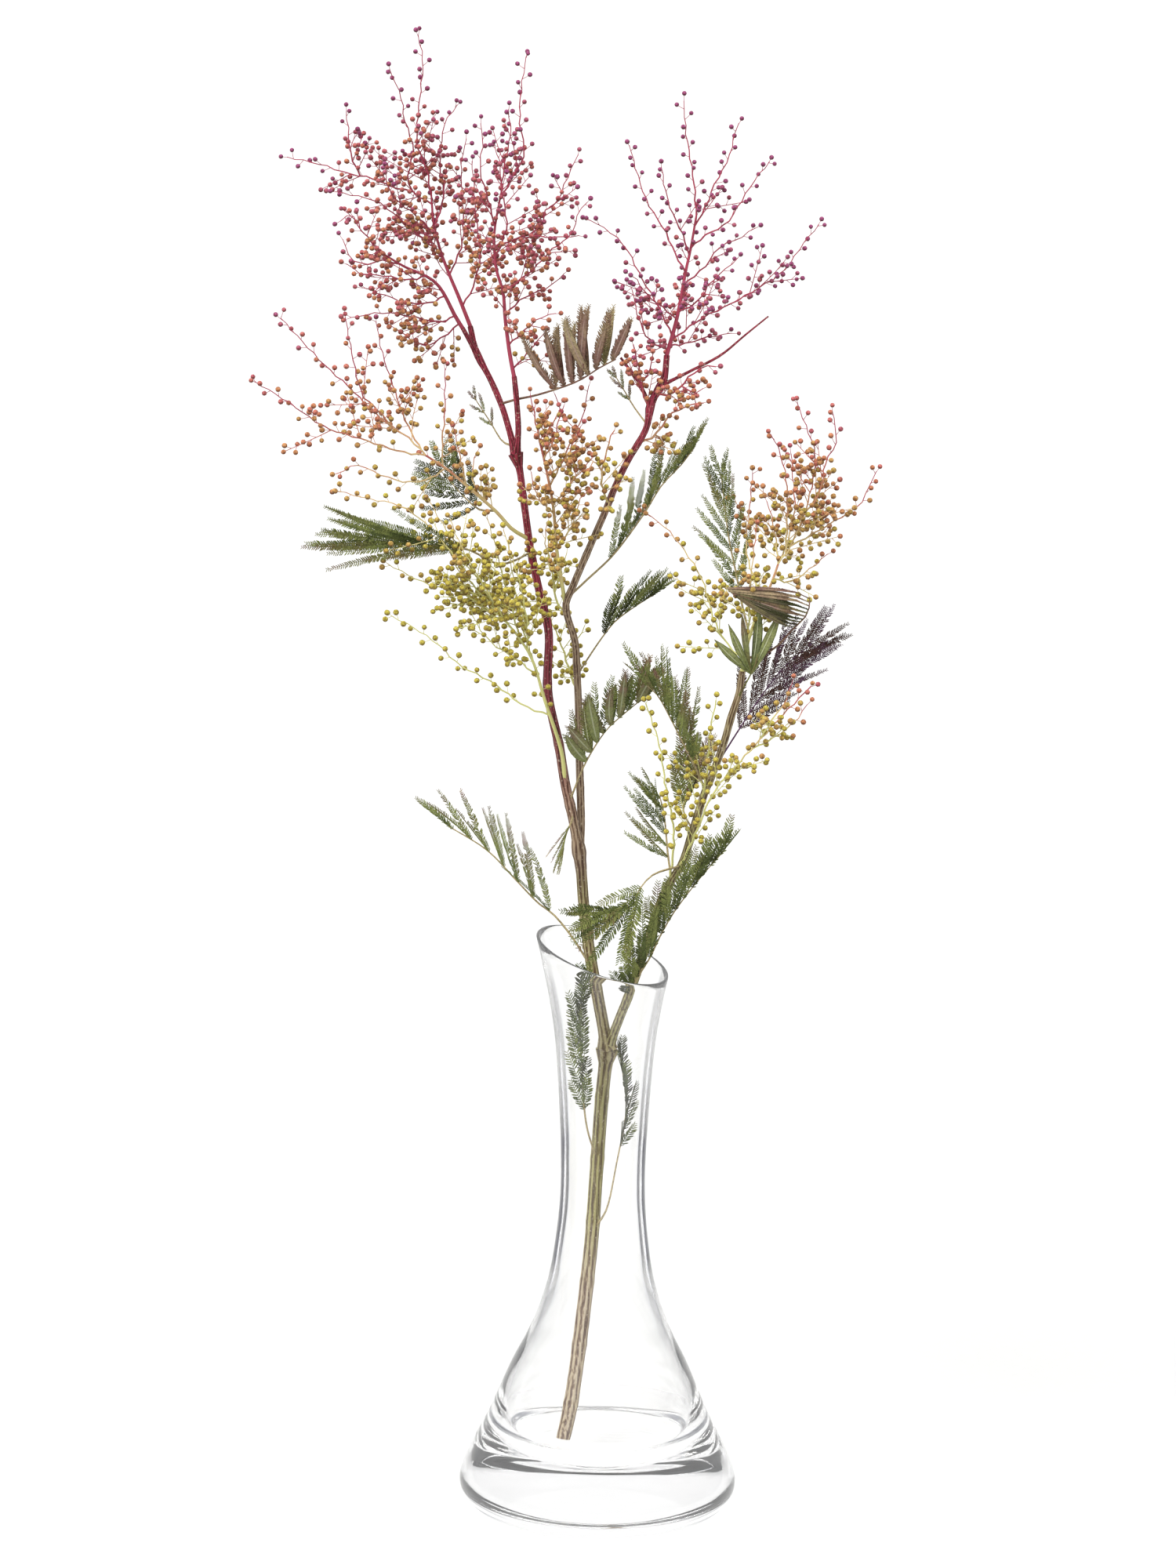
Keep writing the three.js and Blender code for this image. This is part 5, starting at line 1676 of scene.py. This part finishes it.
def folded_fan(rachis, habit, strands):
    """A frond that has shut like a fan: a few broad smooth blades from one apex."""
    apex = rachis.point_at(0.62)
    lens = (0.25, 0.55, 0.8, 1.0, 0.95, 0.62, 0.08)
    for own, (end, half_width) in enumerate(FOLDED):
        end = np.array(end, float)
        side = np.cross(unit(end - apex), (0, -1, 0))
        bow = side * 1.6 * (chance(own, 3) - 0.5) + np.array((0, -1.2, 0))
        places = [mix(apex, end, t) + bow * math.sin(math.pi * t) for t in RIB]
        upper = unit(np.array((0, -1.0, 0)) + side * (chance(own, 4) - 0.5))
        set_pinna(strands, places, upper, own + 8000, habit, half_width, lens)


def rolled_fan(rachis, habit, strands):
    """A frond whose pinnae have rolled up side by side and meet at one tip."""
    count = habit[4]
    lens = (0.08, 0.3, 0.85, 1.0, 0.95, 0.75, 0.4)
    for i in range(count):
        turn = i / (count - 1)
        root = rachis.point_at(mix(0.66, 0.99, turn))
        end = mix(ROLLED_TIP[0], ROLLED_TIP[1], turn)
        out = (turn - 0.45) * 2.3
        away = np.array((0, -math.cos(out), math.sin(out)))
        places = []
        for t in RIB:
            swell = math.sin(math.pi * t**0.7)
            places.append(mix(root, end, t) + away * 2.4 * swell * (0.85 + 0.3 * chance(i, 5)))
        browned = 0.35 if turn > 0.7 else 0.3 * chance(i, 2) - 0.4
        own_habit = (*habit[:3], browned, count)
        set_pinna(strands, places, away, i + 8100, own_habit, 1.3 + 0.6 * chance(i, 6), lens)


def grow_frond(name, index, carriers):
    route, face, start, *form = FRONDS[name]
    strands = Strands(thickness=0.0, is_rib=0.0, fullness=1.0, blade=0.0, tone=0.0, upper=UP)
    rachis = rooted_axis(route, carriers, 0.55, 0.28)
    face = np.array(face, float)
    habit = HABITS[name]
    closed, pairs = habit[1], habit[4]
    shares = np.linspace(0, 1, max(4, int(rachis.length / 4)) + 1)
    strands.line(
        [rachis.point_at(share) for share in shares],
        thickness=[rachis.radius_at(share) * MM for share in shares],
        # The rachis of a frond that has shut is as brown as its blades.
        tone=0.65 if closed > 0.8 else 1.25,
    )
    if name == "frond_right_folded":
        folded_fan(rachis, habit, strands)
        return strands
    if name == "frond_right_rolled":
        rolled_fan(rachis, habit, strands)
        return strands
    # A pinna that would touch the glass is twisted, and then shortened, until it is clear.
    tries = [(s, t) for s in (1, 0.75, 0.5) for t in (0, 14, -14, 28, -28, 45, -45)]
    for step in range(pairs):
        rise = step / (pairs - 1)
        at = mix(start, 0.97, rise)
        for side in (1, -1):
            own = (index + 1) * 100 + 2 * step + (1 if side > 0 else 0)
            for shorten, twist in tries:
                places, upper = pinna_route(
                    rachis, face, at, rise, side, form, twist, shorten, own
                )
                if all(clear_of_glass(place, 2.4) for place in places[1:]):
                    set_pinna(strands, places, upper, own, habit)
                    break
    return strands


# ---- Settings ----


def colour_property(name, code, description):
    return FloatVectorProperty(
        name=name,
        description=description,
        subtype="COLOR",
        size=4,
        min=0.0,
        max=1.0,
        default=linear(code),
    )


def small_length_property(name, size, least, most, description):
    """A length that is given in millimetres."""
    return FloatProperty(
        name=name,
        description=description,
        default=size * MM,
        min=least * MM,
        max=most * MM,
        precision=5,
        unit="LENGTH",
    )


class MimosaVaseSettings(bpy.types.PropertyGroup):
    """Sizes and colours of the glass vase."""

    segments: IntProperty(
        name="Segments", description="Facets round the vase", default=112, min=24, max=192
    )
    # Colours of the painted shade where the glass turns away from the view.
    painted_edge_tint: colour_property("Tint", "#d6d8e2", "Tint of the glass where it begins to turn away")
    edge: colour_property("Edge", "#0d0e16", "Tint of the glass at its edges")


class MimosaStemSettings(bpy.types.PropertyGroup):
    """Sizes and colours of the woody stem."""

    ridges: IntProperty(
        name="Ridges", description="Ridges that run along the stem", default=8, min=0, max=12
    )
    ridge_depth: FloatProperty(
        name="Ridge depth",
        description="Height of a ridge, as a share of the stem's radius",
        default=0.05,
        min=0.0,
        max=0.3,
        subtype="FACTOR",
    )
    cut_end: colour_property("Cut end", "#a3967f", "Bark at the cut end")
    olive: colour_property("Olive", "#8f8a5c", "Bark in the vase")
    brown: colour_property("Brown", "#93806a", "Bark of the middle of the stem")
    maroon: colour_property("Maroon", "#7a3a3f", "Bark below the crown")
    crimson: colour_property("Crimson", "#8c3042", "Bark of the youngest limbs")
    specks: colour_property("Specks", "#cfc4ae", "Pale specks in the bark")


class MimosaSpraySettings(bpy.types.PropertyGroup):
    """Sizes and colours of the sprays of buds."""

    bud_radius: small_length_property("Bud radius", 1.24, 0.5, 4, "Radius of a closed bud")
    pitch: FloatProperty(
        name="Bud pitch",
        description="Distance from bud to bud along a side shoot, in millimetres",
        default=2.6,
        min=2.0,
        max=12.0,
    )
    young: colour_property("Young bud", "#c3b74f", "Bud that has just formed")
    gold: colour_property("Gold bud", "#c09a5a", "Bud that has begun to colour")
    rust: colour_property("Rust bud", "#c47f5e", "Bud halfway up the plant")
    rose: colour_property("Rose bud", "#bf686b", "Bud of the crown")
    plum: colour_property("Plum bud", "#9b4c78", "Bud at the furthest tips")
    twig_young: colour_property("Young twig", "#c1bf7a", "Twig among yellow-green buds")
    twig_gold: colour_property("Gold twig", "#c1a777", "Twig among gold buds")
    twig_rust: colour_property("Rust twig", "#ab6450", "Twig among rust buds")
    twig_red: colour_property("Red twig", "#96384c", "Twig among rose and plum buds")


class MimosaFrondSettings(bpy.types.PropertyGroup):
    """Sizes and colours of the fronds."""

    leaflet_pitch: small_length_property(
        "Leaflet pitch", 0.78, 0.4, 8, "Distance from leaflet to leaflet along a rib"
    )
    leaflet_length: small_length_property(
        "Leaflet length", 1.9, 0.5, 9, "Length of a full leaflet"
    )
    leaflet_width: small_length_property("Leaflet width", 0.57, 0.2, 4, "Width of a full leaflet")
    leaflet_thickness: small_length_property(
        "Leaflet thickness", 0.2, 0.1, 2, "Thickness of a full leaflet"
    )
    deep_green: colour_property("Deep green", "#393c21", "Shaded side of a green leaflet")
    green: colour_property("Green", "#566034", "Green leaflet")
    light_green: colour_property("Light green", "#7b8249", "Young green leaflet")
    olive: colour_property("Olive", "#6f6a42", "Leaflet that has begun to dry")
    brown: colour_property("Brown", "#77564c", "Dry leaflet")
    umber: colour_property("Umber", "#432f29", "Leaflet that has dried dark")
    purple: colour_property("Purple", "#5a4058", "Leaflet that has dried purple")
    rachis: colour_property("Rachis", "#a59670", "Rachis of a frond")
    midrib: colour_property("Midrib", "#a3a689", "Midrib of a green blade of closed leaflets")
    dry_midrib: colour_property("Dry midrib", "#a18a80", "Midrib of a brown blade")


class MimosaStageSettings(bpy.types.PropertyGroup):
    """The floor, the light and the camera."""

    floor_radius: FloatProperty(
        name="Floor radius",
        description="Radius of the pale floor",
        default=40.0,
        min=1.0,
        max=90.0,
        unit="LENGTH",
    )
    floor_colour: colour_property("Floor colour", "#c6c6c5", "Colour of the floor")
    sky: colour_property("Sky", "#ffffff", "Colour of the light all round")
    dusk: colour_property("Dusk", "#999ca3", "Colour of the unlit sides of the studio")
    distance: FloatProperty(
        name="Camera distance",
        description="From the camera to the middle of the sprig",
        default=2.2,
        min=0.5,
        max=9.0,
        unit="LENGTH",
    )
    pitch: FloatProperty(
        name="Camera pitch",
        description="How far the camera looks down",
        default=10 * DEGREE,
        min=-1.5,
        max=1.5,
        unit="ROTATION",
    )


# ---- Operators ----


class MIMOSA_OT_vase(bpy.types.Operator):
    """Blow the glass vase"""

    bl_idname = "mimosa.vase"
    bl_label = "Glass vase"

    def execute(self, context):
        settings = context.scene.mimosa_vase
        vase = placed("blown_vase", vase_mesh(settings))
        vase.data.materials.append(clear_glass(settings))
        # Clear glass lets the light through to the stem and the floor.
        vase.visible_shadow = vase.visible_diffuse = False
        dress(vase, "glass_vase")
        return {"FINISHED"}


class MIMOSA_OT_stem(bpy.types.Operator):
    """Grow the forked woody stem"""

    bl_idname = "mimosa.stem"
    bl_label = "Woody stem"

    def execute(self, context):
        settings = context.scene.mimosa_stem
        values = {
            "Ridges": settings.ridges,
            "Ridge Depth": settings.ridge_depth,
            "Bark": young_bark(settings),
        }
        stem = grown("ridged_stem", stem_strands().mesh("stem_lines"), stem_growth(), values)
        dress(stem, "woody_stem")
        return {"FINISHED"}


class MIMOSA_OT_sprays(bpy.types.Operator):
    """Grow the sprays of buds"""

    bl_idname = "mimosa.sprays"
    bl_label = "Sprays of buds"

    def execute(self, context):
        settings = context.scene.mimosa_sprays
        tree, limbs = spray_growth(), limb_axes()
        values = {
            "Bud Radius": settings.bud_radius,
            "Twig": green_twig(settings),
            "Bud": mealy_buds(settings),
        }
        for index, node in enumerate(SPRAYS):
            lines = spray_strands(node, index, limbs, settings).mesh(node + "_lines")
            dress(grown(node.replace("spray", "buds"), lines, tree, values), node)
        return {"FINISHED"}


class MIMOSA_OT_fronds(bpy.types.Operator):
    """Grow the feathery fronds"""

    bl_idname = "mimosa.fronds"
    bl_label = "Fronds"

    def execute(self, context):
        s = context.scene.mimosa_fronds
        tree, limbs = frond_growth(), limb_axes()
        carriers = limbs + [spray_axes(routes[:1], limbs)[0] for routes in SPRAYS.values()]
        green = dry_leaf(
            "mimosa_leaf_green",
            [
                (0.05, s.deep_green),
                (0.28, s.green),
                (0.5, s.light_green),
                (0.72, s.olive),
                (0.9, s.brown),
                (1.0, s.rachis),
            ],
            s.midrib,
        )
        brown = dry_leaf(
            "mimosa_leaf_brown",
            [(0.0, s.deep_green), (0.25, s.olive), (0.6, s.brown), (1.0, s.rachis)],
            s.dry_midrib,
        )
        purple = dry_leaf(
            "mimosa_leaf_purple",
            [(0.2, s.umber), (0.5, s.umber), (0.8, s.purple)],
            s.dry_midrib,
        )
        finishes = {
            "frond_upper": brown,
            "frond_right_rolled": brown,
            "frond_right_purple": purple,
        }
        for index, node in enumerate(FRONDS):
            lines = grow_frond(node, index, carriers).mesh(node + "_lines")
            # Larger leaflets are also narrower for their length, and stand further apart.
            stretch = math.sqrt(HABITS[node][0])
            values = {
                "Leaflet Pitch": s.leaflet_pitch * stretch,
                "Leaflet Length": s.leaflet_length,
                "Leaflet Width": s.leaflet_width / stretch,
                "Leaflet Thickness": s.leaflet_thickness,
                "Leaf": finishes.get(node, green),
            }
            dress(grown(node.replace("frond", "fern"), lines, tree, values), node)
        return {"FINISHED"}


class MIMOSA_OT_stage(bpy.types.Operator):
    """Set the floor, the light and the camera"""

    bl_idname = "mimosa.stage"
    bl_label = "Studio"

    def execute(self, context):
        settings = context.scene.mimosa_stage
        self.floor(settings)
        self.sky(context, settings)
        self.lamps(context)
        self.camera(context, settings)
        context.scene.view_settings.view_transform = "Standard"
        return {"FINISHED"}

    def floor(self, settings):
        """Matt white paper, lit evenly, with a grain too fine to see from afar."""
        made = bmesh.new()
        bmesh.ops.create_circle(made, cap_ends=True, segments=96, radius=settings.floor_radius)
        bmesh.ops.translate(made, verts=made.verts, vec=(0, 0, -0.6 * MM))
        mesh = bpy.data.meshes.new("paper_floor")
        made.to_mesh(mesh)
        made.free()
        floor = placed("paper_floor", mesh)
        material, tree, place = new_material("matt_white_paper")
        grain = add(
            tree,
            "ShaderNodeTexNoise",
            None,
            {"Vector": place, "Scale": 1 / (4 * MM), "Detail": 2.0},
        )
        tone = add(tree, "ShaderNodeValToRGB", None, {"Fac": grain.outputs["Fac"]})
        pale = settings.floor_colour
        set_stops(tone, [(0.2, [c * 0.98 for c in pale]), (0.8, pale)])
        finish_material(
            tree,
            {"Base Color": tone.outputs["Color"], "Roughness": 0.95, "Specular IOR Level": 0.1},
        )
        mesh.materials.append(material)

    def sky(self, context, settings):
        """A bright sky whose left and right sides are dusky near the ground, so that the glass
        shows its edges."""
        world = bpy.data.worlds.new("studio")
        context.scene.world = world
        world.use_nodes = True
        tree = world.node_tree
        tree.nodes.clear()
        place = add(tree, "ShaderNodeTexCoord")
        parts = add(tree, "ShaderNodeSeparateXYZ", None, {0: place.outputs["Generated"]})
        side = add(tree, "ShaderNodeMath", {"operation": "ABSOLUTE"}, {0: parts.outputs[0]})
        low = add(tree, "ShaderNodeMath", {"operation": "ABSOLUTE"}, {0: parts.outputs[2]})
        amount = add(
            tree,
            "ShaderNodeMath",
            {"operation": "MULTIPLY_ADD"},
            {0: low.outputs[0], 1: -1.2, 2: side.outputs[0]},
        )
        ramp = add(tree, "ShaderNodeValToRGB", None, {"Fac": amount.outputs[0]})
        set_stops(ramp, [(0.45, settings.sky), (0.75, settings.dusk)])
        light = add(
            tree, "ShaderNodeBackground", None, {"Color": ramp.outputs["Color"], "Strength": 1.0}
        )
        add(tree, "ShaderNodeOutputWorld", None, {"Surface": light.outputs[0]})

    def lamps(self, context):
        """Two broad soft lamps from the front and one from behind, which light the whole floor."""
        for name, place, spread, power in (
            ("key_lamp", (-1.5, -1.8, 2.4), 30, 3.0),
            ("fill_lamp", (1.8, -1.4, 1.4), 60, 0.6),
            ("rim_lamp", (0.6, 1.9, 1.9), 50, 1.0),
        ):
            lamp = bpy.data.lights.new(name, "SUN")
            lamp.angle, lamp.energy = spread * DEGREE, power
            lit = placed(name, lamp)
            lit.location = place
            lit.rotation_euler = (-Vector(place)).to_track_quat("-Z", "Y").to_euler()
            # Glass shows the sky alone, not a disc of each lamp.
            lit.visible_glossy = lit.visible_transmission = False

    def camera(self, context, settings):
        """A long lens that looks at the middle of the sprig, rolled by one degree."""
        lens = bpy.data.cameras.new("camera")
        lens.sensor_fit, lens.sensor_width, lens.lens = "AUTO", 36.0, 119.65
        camera = placed("camera", lens)
        target = Vector((-9.35, 0.0, 317.6)) * MM
        pitch = settings.pitch
        back = Vector((0, -math.cos(pitch), math.sin(pitch))) * settings.distance
        turn = Matrix.Rotation(math.pi / 2 - pitch, 4, "X")
        roll = Matrix.Rotation(math.atan(0.0178), 4, "Z")
        camera.matrix_world = Matrix.Translation(target + back) @ turn @ roll
        context.scene.camera = camera


class MIMOSA_PT_panel(bpy.types.Panel):
    """The mimosa's pieces and their settings"""

    bl_idname = "MIMOSA_PT_panel"
    bl_label = "Mimosa sprig"
    bl_space_type = "VIEW_3D"
    bl_region_type = "UI"
    bl_category = "Mimosa"

    def draw(self, context):
        for name in GROUPS:
            box = self.layout.box()
            box.operator("mimosa." + name)
            group = getattr(context.scene, "mimosa_" + name)
            for key in group.__annotations__:
                box.prop(group, key)


GROUPS = {
    "stage": MimosaStageSettings,
    "vase": MimosaVaseSettings,
    "stem": MimosaStemSettings,
    "sprays": MimosaSpraySettings,
    "fronds": MimosaFrondSettings,
}
CLASSES = (
    *GROUPS.values(),
    MIMOSA_OT_stage,
    MIMOSA_OT_vase,
    MIMOSA_OT_stem,
    MIMOSA_OT_sprays,
    MIMOSA_OT_fronds,
    MIMOSA_PT_panel,
)


def register():
    for each in CLASSES:
        bpy.utils.register_class(each)
    for name, group in GROUPS.items():
        setattr(bpy.types.Scene, "mimosa_" + name, PointerProperty(type=group))


def unregister():
    for name in GROUPS:
        delattr(bpy.types.Scene, "mimosa_" + name)
    for each in reversed(CLASSES):
        bpy.utils.unregister_class(each)


def main():
    register()
    bpy.ops.mimosa.stage()
    bpy.ops.mimosa.vase()
    bpy.ops.mimosa.stem()
    bpy.ops.mimosa.sprays()
    bpy.ops.mimosa.fronds()


if __name__ == "__main__":
    main()
